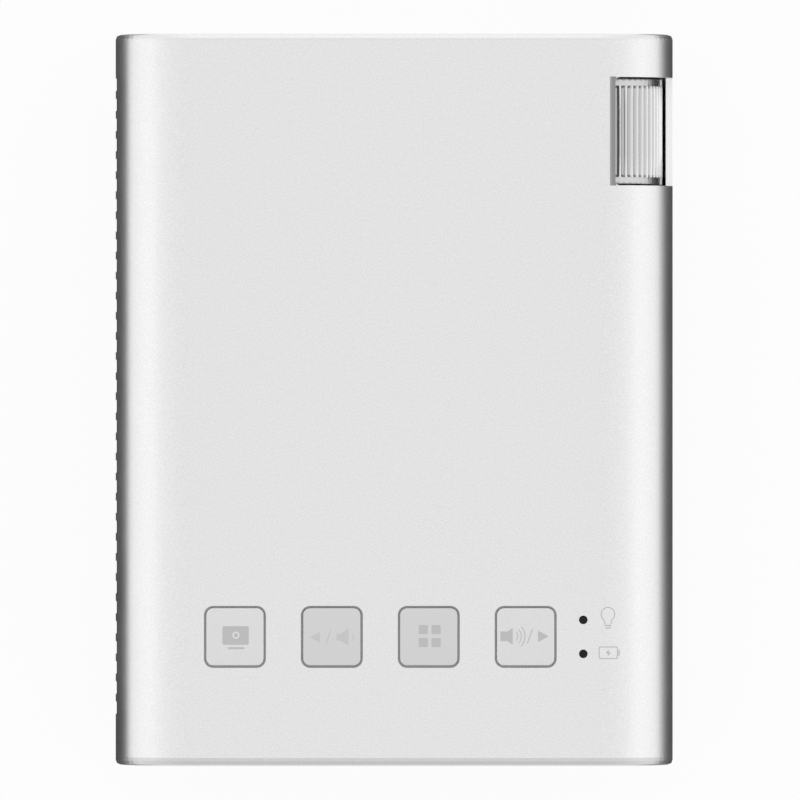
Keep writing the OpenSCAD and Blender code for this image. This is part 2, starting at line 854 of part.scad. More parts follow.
module focus_ring() {
    groove_w = PI * ring_r / rib_n;
    color("#d8d9db")
        difference() {
            y_rod(axis_x, axis_z, ring_r, ring_y0, ring_y1);
            y_rod(axis_x, axis_z, ring_bore, ring_y0 - 1, ring_y1 + 1);
            y_rod(axis_x, axis_z, ring_bore + cam_depth, pin_y - cam_w / 2, pin_y + cam_w / 2);
            translate([axis_x, 0, axis_z])
                for (i = [0:rib_n - 1])
                    rotate([0, i * 360 / rib_n, 0])
                        box(
                            [ring_r - rib_depth, ring_y0 + collar_l, -groove_w / 2],
                            [ring_r + 1, ring_y1 - collar_l, groove_w / 2]
                        );
        }
}

module lens_mount() {
    color("#55585d")
        difference() {
            union() {
                y_rod(axis_x, axis_z, guide_r1, engine_y1 + fit_gap, guide_y1);
                y_rod(axis_x, axis_z, shoulder_r, engine_y1 + fit_gap + flange_t, ring_y0 - notch_gap / 2);
                intersection() {
                    box(
                        [axis_x - shoulder_r, engine_y1 + fit_gap, engine_z0 - 0.6],
                        [engine_x1, engine_y1 + fit_gap + flange_t, engine_z1]
                    );
                    case_bar(wall + 0.3, plug_y0, plug_y1);
                }
            }
            y_rod(axis_x, axis_z, guide_r0, engine_y1 - 1, guide_y1 + 1);
            box(
                [axis_x - pin_r - 0.1, pin_y - focus_travel - pin_r - 0.2, axis_z],
                [axis_x + pin_r + 0.1, pin_y + focus_travel + pin_r + 0.2, axis_z + ring_r]
            );
        }
}

module lens_barrel() {
    color("#1d1e20")
        difference() {
            y_rod(axis_x, axis_z, barrel_r, barrel_y0, barrel_y1);
            y_rod(axis_x, axis_z, glass_r + glass_gap, barrel_y0 - 1, barrel_y0 + rear_lens_t + 1);
            y_rod(axis_x, axis_z, glass_r - glass_recess, barrel_y0, barrel_y1);
            y_rod(
                axis_x, axis_z, glass_r + glass_gap,
                barrel_y1 - front_lens_t - glass_recess - glass_gap, barrel_y1 + 1
            );
            z_rod(axis_x, pin_y, pin_r + glass_gap, axis_z + barrel_r - pin_seat, axis_z + ring_r);
        }
}

module front_lens() {
    lens_y0 = barrel_y1 - front_lens_t - glass_recess;
    color("#5c7f9c")
        intersection() {
            y_rod(axis_x, axis_z, glass_r, lens_y0, lens_y0 + front_lens_t);
            translate([axis_x, lens_y0 + front_lens_t - front_lens_curve, axis_z])
                sphere(r = front_lens_curve);
        }
}

module rear_lens() {
    lens_y0 = barrel_y0 + 0.4;
    color("#7c98ac")
        intersection() {
            y_rod(axis_x, axis_z, glass_r, lens_y0, lens_y0 + rear_lens_t);
            translate([axis_x, lens_y0 + front_lens_curve, axis_z])
                sphere(r = front_lens_curve);
        }
}

module focus_pin() {
    color("#c9b27a")
        z_rod(axis_x, pin_y, pin_r, axis_z + barrel_r - pin_seat + glass_gap, axis_z + pin_top);
}

module ring_retainer() {
    color("#2b2c2f")
        difference() {
            y_rod(axis_x, axis_z, guide_r1 + retainer_rim, ring_y1 + notch_gap / 2, guide_y1);
            y_rod(axis_x, axis_z, guide_r1 + glass_gap, ring_y1, guide_y1 + 1);
        }
}

module lens_surround() {
    mouth_r = surround_r - 0.5;
    color("#26282b")
        difference() {
            union() {
                y_rod(axis_x, axis_z, surround_r, surround_y0, front_y - 0.3);
                y_rod(axis_x, axis_z, surround_r + surround_t, surround_y0, plug_y1 - fit_gap);
            }
            translate([axis_x, front_y, axis_z])
                rotate([90, 0, 0])
                    cylinder(r1 = mouth_r, r2 = barrel_r + 0.2, h = front_y - surround_y0 - 0.6);
            y_rod(axis_x, axis_z, barrel_r + 0.2, surround_y0 - 1, front_y);
        }
}

// Saddle that carries a round optic: a block with a round seat
module saddle_x(x0, x1, y, w, z1) {
    box([x0, y - w / 2, engine_floor - eps], [x1, y + w / 2, z1]);
}

module engine_housing() {
    color("#3d4043")
        difference() {
            union() {
                difference() {
                    box([engine_x0, engine_y0, engine_z0], [engine_x1, engine_y1, engine_z1]);
                    box(
                        [engine_x0 + engine_t, engine_y0 + engine_t, engine_floor],
                        [engine_x1 - engine_t, engine_y1 - engine_t, engine_z1 + 1]
                    );
                }
                saddle_x(
                    collimator_x, collimator_x + collimator_t + saddle_rim, light_y, 2 * collimator_r,
                    axis_z - saddle_drop
                );
                saddle_x(mirror_x - 3.4, mirror_x + 3.4, engine_y0 + engine_t + 1.8, 3.4, axis_z - saddle_drop);
                saddle_x(mirror_x - 3.4, mirror_x + 3.4, light_y, 7, axis_z - mirror_l / 2 - 0.2);
                saddle_x(fly_x - saddle_rim, fly_x + fly_t + saddle_rim, light_y, fly_w + 2, axis_z - saddle_drop);
                saddle_x(
                    relay_x - saddle_rim, relay_x + relay_t + saddle_rim, light_y, 2 * relay_r,
                    axis_z - saddle_drop
                );
                saddle_x(
                    axis_x - prism_w / 2, axis_x + prism_w / 2, light_y, prism_w,
                    axis_z - prism_w / 2 - optic_gap
                );
                for (p = ears)
                    z_rod(p[0], p[1], ear_r, engine_z0, engine_z0 + ear_t);
                box(
                    [ears[0][0] - ear_r, engine_y1 - eps, engine_z0],
                    [ears[0][0] + ear_r, ears[0][1], engine_z0 + ear_t]
                );
                box(
                    [ears[1][0] - ear_r, ears[1][1], engine_z0],
                    [ears[1][0] + ear_r, engine_y0 + eps, engine_z0 + ear_t]
                );
            }
            for (p = ears)
                z_rod(p[0], p[1], screw_r + screw_gap, engine_z0 - 1, engine_z0 + ear_t + 1);
            x_rod(light_y, axis_z, collimator_r + optic_gap, engine_x0 - 1, collimator_x + collimator_t + optic_gap);
            x_rod(light_y, axis_z, collimator_r - 1, collimator_x, collimator_x + collimator_t + 2);
            y_rod(mirror_x, axis_z, collimator_r + optic_gap, engine_y0 - 1, engine_y0 + engine_t + 2.8);
            y_rod(mirror_x, axis_z, collimator_r - 1, engine_y0, engine_y0 + engine_t + 5);
            box(
                [fly_x - optic_gap, light_y - fly_w / 2 - optic_gap, axis_z - fly_w / 2 - optic_gap],
                [fly_x + fly_t + optic_gap, light_y + fly_w / 2 + optic_gap, engine_z1]
            );
            x_rod(light_y, axis_z, fly_w / 2 - 0.8, fly_x - 2, fly_x + fly_t + 2);
            x_rod(light_y, axis_z, relay_r + optic_gap, relay_x - optic_gap, relay_x + relay_t + optic_gap);
            x_rod(light_y, axis_z, relay_r - 1, relay_x - 2, relay_x + relay_t + 2);
            box(
                [axis_x - chip_w / 2 - 0.2, engine_y0 - 1, axis_z - chip_h / 2 - 0.2],
                [axis_x + chip_w / 2 + 0.2, engine_y0 + engine_t + 1, axis_z + chip_h / 2 + 0.2]
            );
            y_rod(axis_x, axis_z, barrel_r + 0.2, engine_y1 - engine_t - 1, engine_y1 + 1);
        }
}

module engine_lid() {
    color("#4a4d51")
        union() {
            box([engine_x0, engine_y0, engine_z1], [engine_x1 - 1.6, engine_y1, engine_z1 + lid_t]);
            box(
                [engine_x0 + engine_t + 0.15, engine_y0 + engine_t + 0.15, engine_z1 - 0.8],
                [engine_x1 - engine_t - 0.15, engine_y0 + engine_t + 1.2, engine_z1 + eps]
            );
        }
}

// Two wedges with a thin air gap along their shared diagonal
module prism_pair() {
    gap = 0.15;
    x0 = axis_x - prism_w / 2;
    x1 = axis_x + prism_w / 2;
    y0 = light_y - prism_w / 2;
    y1 = light_y + prism_w / 2;
    color("#a9c2cf")
        translate([0, 0, axis_z - prism_w / 2])
            linear_extrude(prism_w)
                union() {
                    polygon([[x0, y0], [x1 - gap, y0], [x0, y1 - gap]]);
                    polygon([[x1, y1], [x1, y0 + gap], [x0 + gap, y1]]);
                }
}

module mirror_chip() {
    color("#8d8f93")
        box(
            [axis_x - chip_w / 2, engine_y0 - fit_gap, axis_z - chip_h / 2],
            [axis_x + chip_w / 2, light_y - prism_w / 2 - 0.3, axis_z + chip_h / 2]
        );
}

module chip_board() {
    color("#1f5a3a")
        box(
            [axis_x - 9, engine_y0 - fit_gap - board_t, engine_z0 + 1.5],
            [engine_x1 - 0.2, engine_y0 - fit_gap, engine_z1 - 1]
        );
}

module green_led_board() {
    color("#cfd2d6")
        union() {
            box(
                [led_board_x1 - led_board_t, light_y - led_board_w / 2, axis_z - led_board_w / 2],
                [led_board_x1, light_y + led_board_w / 2, axis_z + led_board_w / 2]
            );
            box(
                [led_board_x1 - eps, light_y - led_chip_side / 2, axis_z - led_chip_side / 2],
                [led_board_x1 + led_board_t / 2, light_y + led_chip_side / 2, axis_z + led_chip_side / 2]
            );
        }
}

module red_blue_led_board() {
    led_y1 = engine_y0 - led_gap;
    color("#cfd2d6")
        union() {
            box(
                [mirror_x - led_board_w / 2, led_y1 - led_board_t, axis_z - led_board_w / 2],
                [mirror_x + led_board_w / 2, led_y1, axis_z + led_board_w / 2]
            );
            box(
                [mirror_x - led_chip_side / 2, led_y1 - eps, axis_z - led_chip_side / 2],
                [mirror_x + led_chip_side / 2, led_y1 + led_board_t / 2, axis_z + led_chip_side / 2]
            );
        }
}

module collimator_lenses() {
    color("#b9cbd6")
        union() {
            x_rod(light_y, axis_z, collimator_r, collimator_x, collimator_x + collimator_t);
            y_rod(mirror_x, axis_z, collimator_r, engine_y0 + engine_t, engine_y0 + engine_t + collimator_t);
        }
}

module dichroic_mirror() {
    color("#c792c9")
        translate([mirror_x, light_y + 1, axis_z])
            rotate([0, 0, -45])
                cube([mirror_l, mirror_t, mirror_l], center = true);
}

module fly_eye_lens() {
    color("#b9cbd6")
        box(
            [fly_x, light_y - fly_w / 2, axis_z - fly_w / 2],
            [fly_x + fly_t, light_y + fly_w / 2, axis_z + fly_w / 2]
        );
}

module relay_lens() {
    color("#b9cbd6")
        intersection() {
            x_rod(light_y, axis_z, relay_r, relay_x, relay_x + relay_t);
            translate([relay_x + relay_t - 2 * relay_r, light_y, axis_z])
                sphere(r = 2 * relay_r);
        }
}

module heat_sink() {
    fins = floor((sink_z1 - sink_z0 - fin_t) / fin_pitch);
    color("#a6a9ad")
        union() {
            box([sink_x1 - sink_base_t, sink_y0, sink_z0], [sink_x1, sink_y1, sink_z1]);
            for (i = [0:fins])
                box(
                    [sink_x0, sink_fin_y0, sink_z0 + i * fin_pitch],
                    [sink_x1 - sink_base_t + eps, sink_y1, sink_z0 + i * fin_pitch + fin_t]
                );
        }
}

module heat_spreader() {
    color("#b87344")
        box(
            [sink_x1 + led_gap, spreader_y1 - spreader_t, axis_z - led_board_w / 2],
            [mirror_x + led_board_w / 2, spreader_y1, axis_z + led_board_w / 2]
        );
}

module fan_frame() {
    color("#2a2b2e")
        difference() {
            union() {
                difference() {
                    box(
                        [fan_x0, fan_y - fan_w / 2, fan_z - fan_w / 2],
                        [fan_x1, fan_y + fan_w / 2, fan_z + fan_w / 2]
                    );
                    x_rod(fan_y, fan_z, fan_bore, fan_x0 - 1, fan_x1 + 1);
                }
                x_rod(fan_y, fan_z, hub_r, fan_x1 - fan_plate_t, fan_x1);
                x_rod(fan_y, fan_z, bearing_r, fan_x0 + fan_d / 3, fan_x1);
                for (a = [45, 165, 285])
                    translate([fan_x1 - fan_plate_t, fan_y, fan_z])
                        rotate([a, 0, 0])
                            box([0, hub_r - 1, -fan_arm_w / 2], [fan_plate_t, fan_bore + 0.4, fan_arm_w / 2]);
            }
            x_rod(fan_y, fan_z, shaft_r + shaft_gap, fan_x0, fan_x1 - 0.4);
        }
}

module fan_rotor() {
    rotor_x0 = fan_x0 + 0.5;
    rotor_x1 = fan_x1 - fan_plate_t - 0.4;
    color("#36383c")
        union() {
            difference() {
                x_rod(fan_y, fan_z, hub_r, rotor_x0, rotor_x1);
                x_rod(fan_y, fan_z, hub_r - hub_t, rotor_x0 + hub_t, rotor_x1 + 1);
            }
            x_rod(fan_y, fan_z, shaft_r, rotor_x0 + 0.5, fan_x1 - 0.6);
            intersection() {
                difference() {
                    x_rod(fan_y, fan_z, rotor_r, rotor_x0 + 0.2, rotor_x1 - 0.2);
                    x_rod(fan_y, fan_z, hub_r - hub_t / 2, rotor_x0, rotor_x1);
                }
                for (i = [0:blade_n - 1])
                    translate([(rotor_x0 + rotor_x1) / 2, fan_y, fan_z])
                        rotate([i * 360 / blade_n, 0, 0])
                            rotate([0, 0, blade_pitch])
                                translate([-fan_d / 2 - 1, -blade_t / 2, 0])
                                    cube([fan_d + 2, blade_t, rotor_r + 1]);
            }
        }
}

module main_board() {
    color("#1d5134")
        difference() {
            box([-board_x, board_y0, board_z], [board_x, board_y1, board_top]);
            for (p = screw_spots)
                z_rod(p[0], p[1], boss_r + boss_gap, board_z - 1, board_top + 1);
            for (p = board_posts)
                z_rod(p[0], p[1], screw_r + screw_gap, board_z - 1, board_top + 1);
        }
}

// Chips and chokes: [middle as a share of the board's half width, width, start and end in the free zone, height]
chips = [
    [0.04, 15, 0.3, 0.95, 1.4],
    [-0.385, 9, 0.1, 0.62, 1],
    [0.48, 8, 0.47, 0.83, 1],
    [-0.88, 7, 0.47, 0.78, 2.8],
    [0.75, 7, 0.39, 0.7, 2.8]
];

module main_chips() {
    color("#232427")
        for (c = chips)
            box(
                [c[0] * board_x - c[1] / 2, chip_zone_y0 + c[2] * chip_zone, board_top],
                [c[0] * board_x + c[1] / 2, chip_zone_y0 + c[3] * chip_zone, board_top + c[4]]
            );
}

// Sockets on the main board for the three leads and the two ribbons
module board_connectors() {
    color("#e6e2d4")
        union() {
            for (r = [speaker_route, fan_route, battery_route])
                let (p = r[len(r) - 1])
                    box(
                        [p[0] - connector_w / 2, p[1] - fit_gap - connector_d, board_top],
                        [p[0] + connector_w / 2, p[1] - fit_gap, board_top + connector_h]
                    );
            box(
                [ribbon_x - ribbon_w / 2 - ribbon_socket_rim, engine_socket_y, board_top],
                [
                    ribbon_x + ribbon_w / 2 + ribbon_socket_rim,
                    engine_socket_y + engine_socket_d,
                    board_top + ribbon_socket_h
                ]
            );
            box(
                [key_ribbon_x - key_ribbon_w / 2 - ribbon_socket_rim, key_socket_y, board_top],
                [
                    key_ribbon_x + key_ribbon_w / 2 + ribbon_socket_rim,
                    key_socket_y + key_socket_d,
                    board_top + ribbon_socket_h
                ]
            );
        }
}

// Socket with a sheet shell and a tongue inside it
module port(x, w, l, h, tongue_w, tongue_z0, tongue_z1) {
    color("#b4b7bb")
        union() {
            difference() {
                box([x - w / 2, socket_y0, board_top], [x + w / 2, socket_y0 + l, board_top + h]);
                box(
                    [x - w / 2 + port_wall, socket_y0 - 1, board_top + port_wall],
                    [x + w / 2 - port_wall, socket_y0 + l - port_back, board_top + h - port_wall]
                );
            }
            box(
                [x - tongue_w / 2, socket_y0 + 1, board_top + tongue_z0],
                [x + tongue_w / 2, socket_y0 + l - port_back + 0.5, board_top + tongue_z1]
            );
        }
}

module hdmi_socket() {
    port(hdmi_x, hdmi_w, hdmi_l, hdmi_h, hdmi_tongue_w, hdmi_tongue_z, hdmi_tongue_z + hdmi_tongue_t);
}

module usb_socket() {
    port(usb_x, usb_w, usb_l, usb_h, usb_tongue_w, usb_tongue_z, usb_tongue_z + usb_tongue_t);
}

module dc_socket() {
    color("#1c1c1e")
        union() {
            difference() {
                box([dc_x - dc_w / 2, socket_y0, board_top], [dc_x + dc_w / 2, socket_y0 + dc_l, board_top + dc_h]);
                y_rod(dc_x, board_top + dc_h / 2, dc_r, socket_y0 - 1, socket_y0 + dc_l - 2);
            }
            y_rod(dc_x, board_top + dc_h / 2, dc_pin_r, socket_y0 + 1.2, socket_y0 + dc_l - 1.5);
        }
}

module audio_socket() {
    color("#1c1c1e")
        difference() {
            box(
                [audio_x - audio_w / 2, socket_y0, board_top],
                [audio_x + audio_w / 2, socket_y0 + audio_l, board_top + audio_h]
            );
            y_rod(audio_x, audio_z, audio_r, socket_y0 - 1, socket_y0 + audio_l - 1);
        }
}

module power_switch() {
    color("#9fa2a6")
        difference() {
            box(
                [switch_x - switch_case_w / 2, switch_case_y0, board_top],
                [switch_x + switch_case_w / 2, switch_case_y0 + switch_case_l, board_top + switch_case_h]
            );
            box(
                [switch_x - slider_travel / 2 - 1, switch_case_y0 - 1, slider_z - 0.8],
                [switch_x + slider_travel / 2 + 1, switch_case_y0 + 2, slider_z + 0.8]
            );
        }
}

module power_slider() {
    rest_x = switch_x - slider_travel / 2;
    color("#26282b")
        union() {
            box(
                [rest_x - slider_w / 2, rear_y + 0.1, slider_z - slider_h / 2],
                [rest_x + slider_w / 2, plug_y0 + 0.4, slider_z + slider_h / 2]
            );
            box(
                [rest_x - slider_w / 2 - slider_base, plug_y0 + 0.2, slider_z - slider_h / 2 - slider_base],
                [rest_x + slider_w / 2 + slider_base, plug_y0 + 1.1, slider_z + slider_h / 2 + slider_base]
            );
            box([rest_x - 0.8, plug_y0 + 1, slider_z - 0.6], [rest_x + 0.8, switch_case_y0 + 1.8, slider_z + 0.6]);
        }
}

module battery_cells() {
    color("#6f7f93")
        for (s = [-1, 0])
            box(
                [s * (cell_w + cell_gap) + cell_gap / 2, cell_y0, cell_z0],
                [s * (cell_w + cell_gap) + cell_gap / 2 + cell_w, cell_y1, cell_z0 + cell_h]
            );
}

module battery_board() {
    color("#1f5a3a")
        box(
            [cell_inset - cell_w, cell_y1 + fit_gap, cell_z0 + 1],
            [cell_w - cell_inset, cell_y1 + fit_gap + protector_t, cell_z0 + 1 + protector_h]
        );
}

module speaker() {
    color("#2a2b2e")
        union() {
            box(
                [speaker_x0, speaker_y1 - speaker_t, axis_z - speaker_h / 2],
                [speaker_x1, speaker_y1, axis_z + speaker_h / 2]
            );
            y_rod(speaker_x, axis_z, magnet_r, speaker_y1 - speaker_t - magnet_t, speaker_y1 - speaker_t + eps);
        }
}

// Ribbon from the key board's underside to its socket on the main board
module key_ribbon() {
    top_y = key_y + 3;
    top_z = key_board_z - fit_gap;
    low_z = board_top + ribbon_socket_h + fit_gap;
    low_y = key_socket_y + key_socket_d / 2;
    x0 = key_ribbon_x - key_ribbon_w / 2;
    x1 = key_ribbon_x + key_ribbon_w / 2;
    color("#d9d3c4")
        union() {
            box([x0, top_y, top_z - ribbon_t], [x1, key_fold_y, top_z]);
            box([x0, key_fold_y - ribbon_t, low_z], [x1, key_fold_y, top_z]);
            box([x0, key_fold_y - ribbon_t, low_z], [x1, low_y, low_z + ribbon_t]);
        }
}

// Ribbon from the chip board to its socket on the main board
module engine_ribbon() {
    start_y = engine_y0 - fit_gap - board_t - fit_gap;
    fold_y = engine_socket_y + engine_socket_d / 2;
    top_z = engine_z1 - 3;
    low_z = board_top + ribbon_socket_h + fit_gap;
    x0 = ribbon_x - ribbon_w / 2;
    x1 = ribbon_x + ribbon_w / 2;
    color("#d9d3c4")
        union() {
            box([x0, start_y - ribbon_t, axis_z - chip_h / 2], [x1, start_y, top_z]);
            box([x0, fold_y, top_z - ribbon_t], [x1, start_y, top_z]);
            box([x0, fold_y, low_z], [x1, fold_y + ribbon_t, top_z]);
        }
}

function unit(v) = v / norm(v);
function route_way(p, i) =
    i == 0 ? unit(p[1] - p[0]) :
    i == len(p) - 1 ? unit(p[i] - p[i - 1]) :
    unit(unit(p[i] - p[i - 1]) + unit(p[i + 1] - p[i]));

// Round lead along a route that stays in planes across X
module lead(route, r) {
    sides = 8;
    rings = len(route);
    points = [
        for (i = [0:rings - 1])
            let (w = route_way(route, i), a = unit(cross(w, [1, 0, 0.01])), b = cross(w, a))
                for (j = [0:sides - 1])
                    route[i] + r * (cos(j * 360 / sides) * a + sin(j * 360 / sides) * b)
    ];
    skin = [
        for (i = [0:rings - 2], j = [0:sides - 1])
            let (k = (j + 1) % sides)
                each [
                    [i * sides + j, (i + 1) * sides + k, i * sides + k],
                    [i * sides + j, (i + 1) * sides + j, (i + 1) * sides + k]
                ]
    ];
    ends = [
        [for (j = [0:sides - 1]) j],
        [for (j = [sides - 1:-1:0]) (rings - 1) * sides + j]
    ];
    polyhedron(points = points, faces = concat(skin, ends));
}

module fan_lead() {
    color("#8a2f2c")
        lead(fan_route, wire_r);
}

module speaker_lead() {
    color("#2f3236")
        lead(speaker_route, wire_r);
}

module battery_lead() {
    color("#a33a34")
        lead(battery_route, wire_r);
}

module tilt_foot() {
    color("#2d2f32")
        difference() {
            union() {
                box([prop_x0, prop_y0, plate_z0], [prop_x1, hinge_y, plate_z0 + prop_t]);
                x_rod(hinge_y, hinge_z, knuckle_r, prop_x0, prop_x1);
            }
            x_rod(hinge_y, hinge_z, hinge_r + shaft_gap, prop_x0 - 1, prop_x1 + 1);
        }
}

module hinge_pin() {
    color("#b9bbbd")
        x_rod(hinge_y, hinge_z, hinge_r, prop_x0 - prop_cheek + 0.5, prop_x1 + prop_cheek - 0.5);
}

module tripod_nut() {
    color("#c2a35c")
        difference() {
            union() {
                z_rod(0, tripod_y, nut_r, floor_z + fit_gap, nut_top);
                z_rod(0, tripod_y, nut_neck_r, base_z, floor_z + 1);
            }
            z_rod(0, tripod_y, tripod_r, base_z - 1, base_z + tripod_l);
        }
}

module rubber_feet() {
    color("#3a3b3d")
        for (p = feet)
            z_rod(p[0], p[1], foot_r, 0, foot_t);
}

module cover_screws() {
    color("#8d8f93")
        for (p = screw_spots)
            union() {
                z_rod(p[0], p[1], head_r, head_z, head_z + head_t);
                z_rod(p[0], p[1], cover_screw_r, head_z + eps, head_z + cover_screw_l);
            }
}

// Screws of the main board, with their heads on top, and of the key board, with their heads below
module board_screws() {
    color("#8d8f93")
        union() {
            for (p = board_posts) {
                z_rod(p[0], p[1], screw_head_r, board_top, board_top + screw_head_t);
                z_rod(p[0], p[1], screw_r, board_z - screw_bite, board_top + eps);
            }
            for (p = key_posts) {
                z_rod(p[0], p[1], screw_head_r, key_board_z - screw_head_t, key_board_z);
                z_rod(p[0], p[1], screw_r, key_board_z - eps, key_board_top + key_screw_bite);
            }
        }
}

module engine_screws() {
    color("#8d8f93")
        for (p = ears)
            union() {
                z_rod(p[0], p[1], screw_head_r, engine_z0 + ear_t, engine_z0 + ear_t + screw_head_t);
                z_rod(p[0], p[1], screw_r, floor_z + 0.6, engine_z0 + ear_t + eps);
            }
}

top_cover();
bottom_cover();
front_bezel();
rear_panel();
dust_screen();
key_display();
key_back();
key_menu();
key_forward();
key_board();
key_switches();
light_pipes();
indicator_leds();
focus_ring();
lens_mount();
lens_barrel();
front_lens();
rear_lens();
focus_pin();
ring_retainer();
lens_surround();
engine_housing();
engine_lid();
prism_pair();
mirror_chip();
chip_board();
green_led_board();
red_blue_led_board();
collimator_lenses();
dichroic_mirror();
fly_eye_lens();
relay_lens();
heat_sink();
heat_spreader();
fan_frame();
fan_rotor();
main_board();
main_chips();
board_connectors();
hdmi_socket();
usb_socket();
dc_socket();
audio_socket();
power_switch();
power_slider();
battery_cells();
battery_board();
speaker();
key_ribbon();
engine_ribbon();
fan_lead();
speaker_lead();
battery_lead();
tilt_foot();
hinge_pin();
tripod_nut();
rubber_feet();
cover_screws();
board_screws();
engine_screws();
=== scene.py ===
"""Pocket projector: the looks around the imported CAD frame. Metres; +X right, +Y lens side, +Z up."""

import json
import math
import random

import bmesh
import bpy
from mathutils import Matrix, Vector
from mathutils.bvhtree import BVHTree


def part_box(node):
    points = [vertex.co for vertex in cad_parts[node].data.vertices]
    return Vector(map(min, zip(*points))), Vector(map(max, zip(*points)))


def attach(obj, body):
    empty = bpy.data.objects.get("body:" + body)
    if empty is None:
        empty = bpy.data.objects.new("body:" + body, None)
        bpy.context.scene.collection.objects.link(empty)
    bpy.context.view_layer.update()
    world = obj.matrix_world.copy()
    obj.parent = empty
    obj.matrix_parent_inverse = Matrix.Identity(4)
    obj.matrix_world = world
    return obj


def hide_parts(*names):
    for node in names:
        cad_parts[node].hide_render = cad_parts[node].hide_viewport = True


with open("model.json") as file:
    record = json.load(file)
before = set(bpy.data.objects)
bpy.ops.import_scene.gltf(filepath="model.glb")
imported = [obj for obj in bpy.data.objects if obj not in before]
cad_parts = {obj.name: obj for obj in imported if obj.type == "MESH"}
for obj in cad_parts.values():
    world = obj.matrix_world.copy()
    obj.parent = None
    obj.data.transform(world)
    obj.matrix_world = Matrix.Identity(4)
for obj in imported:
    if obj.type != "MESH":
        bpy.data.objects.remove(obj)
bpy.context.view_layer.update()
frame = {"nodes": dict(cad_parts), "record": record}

MM = 0.001
nodes = frame["nodes"]


# ---------------------------------------------------------------- materials

def linear(grey):
    """Linear value of an sRGB grey or colour given as 0 to 255."""
    def one(v):
        v = v / 255
        return v / 12.92 if v <= 0.04045 else ((v + 0.055) / 1.055) ** 2.4
    if isinstance(grey, (int, float)):
        grey = (grey, grey, grey)
    return tuple(one(v) for v in grey) + (1.0,)


class Nodes:
    """Adds and joins the nodes of one material or world."""

    def __init__(self, owner):
        owner.use_nodes = True
        self.tree = owner.node_tree
        self.tree.nodes.clear()

    def add(self, kind, **values):
        node = self.tree.nodes.new("ShaderNode" + kind)
        for key, value in values.items():
            setattr(node, key, value)
        return node

    def join(self, a, b):
        self.tree.links.new(a, b)

    def fill(self, node, values):
        """Gives a node's inputs, by name or place, a number, a colour or another node's output."""
        for key, value in values.items():
            if isinstance(value, (int, float, tuple)):
                node.inputs[key].default_value = value
            else:
                self.join(value, node.inputs[key])

    def run(self, kind, values, output=0, **settings):
        """Adds a node, fills its inputs and gives one of its outputs."""
        node = self.add(kind, **settings)
        self.fill(node, values)
        return node.outputs[output]

    def math(self, kind, *values):
        return self.run("Math", dict(enumerate(values)), operation=kind)

    def mix(self, fac, a, b):
        """Blend of two colours."""
        return self.run("Mix", {0: fac, 6: a, 7: b}, 2, data_type="RGBA")


class Maker(Nodes):
    """Builds one material round a principled shader."""

    sockets = {
        "colour": "Base Color", "metal": "Metallic", "rough": "Roughness", "ior": "IOR", "coat": "Coat Weight",
        "glass": "Transmission Weight", "specular": "Specular IOR Level", "tint": "Specular Tint",
    }

    def __init__(self, name):
        self.mat = bpy.data.materials.new(name)
        super().__init__(self.mat)
        self.out = self.add("OutputMaterial")
        self.bsdf = self.add("BsdfPrincipled")
        self.join(self.bsdf.outputs[0], self.out.inputs["Surface"])

    def place(self):
        if not hasattr(self, "_place"):
            self._place = self.add("TexCoord").outputs["Object"]
        return self._place

    def noise(self, size_mm, detail=2.0, rough=0.5, stretch=(1, 1, 1)):
        """Noise whose grains are about size_mm across."""
        at = self.place()
        if stretch != (1, 1, 1):
            at = self.run("Mapping", {"Scale": stretch, "Vector": at})
        values = {"Scale": 1000 / size_mm, "Detail": detail, "Roughness": rough, "Vector": at}
        return self.run("TexNoise", values, "Fac")

    def cells(self, size_mm, output="Distance"):
        """Cells about size_mm across."""
        return self.run("TexVoronoi", {"Scale": 1000 / size_mm, "Vector": self.place()}, output)

    def spread(self, fac, low, high, frm=(0.0, 1.0)):
        """The range frm laid out from low to high."""
        values = {"Value": fac, "From Min": frm[0], "From Max": frm[1], "To Min": low, "To Max": high}
        return self.run("MapRange", values)

    def axes(self):
        """The place in millimetres, as three sockets."""
        if not hasattr(self, "_axes"):
            node = self.add("SeparateXYZ")
            self.join(self.place(), node.inputs[0])
            self._axes = [self.math("MULTIPLY", out, 1000.0) for out in node.outputs]
        return self._axes

    def inside(self, low, high):
        """1 between two corners in millimetres, 0 outside them; None leaves a side open."""
        result = None
        for value, lowest, highest in zip(self.axes(), low, high):
            for kind, limit in (("GREATER_THAN", lowest), ("LESS_THAN", highest)):
                if limit is not None:
                    test = self.math(kind, value, limit)
                    result = test if result is None else self.math("MULTIPLY", result, test)
        return result

    def bump(self, height, distance_mm, strength=1.0):
        bumps = self.run("Bump", {"Strength": strength, "Distance": distance_mm * MM, "Height": height})
        self.join(bumps, self.bsdf.inputs["Normal"])

    def set(self, **values):
        self.fill(self.bsdf, {self.sockets[key]: value for key, value in values.items()})


def satin_metal(name, grey, metal=0.85, rough=0.34, grain=0.18, flake=0.06, cuts=()):
    """Fine silver paint on metal: tiny flakes, a very fine grain and faint cloudiness.

    Each patch is (low corner, high corner, grey): a place, in millimetres, where the metal is painted another tone,
    as painted shade or a painted highlight.
    """
    m = Maker(name)
    base = linear(grey)
    dark = tuple(v * (1 - flake) for v in base[:3]) + (1.0,)
    light = tuple(min(1, v * (1 + flake)) for v in base[:3]) + (1.0,)
    grains = m.noise(grain, 1.0)
    cloud = m.noise(9.0, 3.0)
    tone = m.mix(m.spread(grains, 0.0, 1.0, (0.35, 0.65)), dark, light)
    tone = m.mix(m.spread(cloud, 0.0, 0.12), tone, base)
    # patches painted darker or lighter: painted shade and painted highlights
    for low, high, other in cuts:
        tone = m.mix(m.inside(low, high), tone, linear(other))
    m.set(colour=tone, metal=metal)
    m.set(rough=m.spread(cloud, rough - 0.02, rough + 0.03))
    m.bump(grains, 0.004, 0.25)
    return m.mat


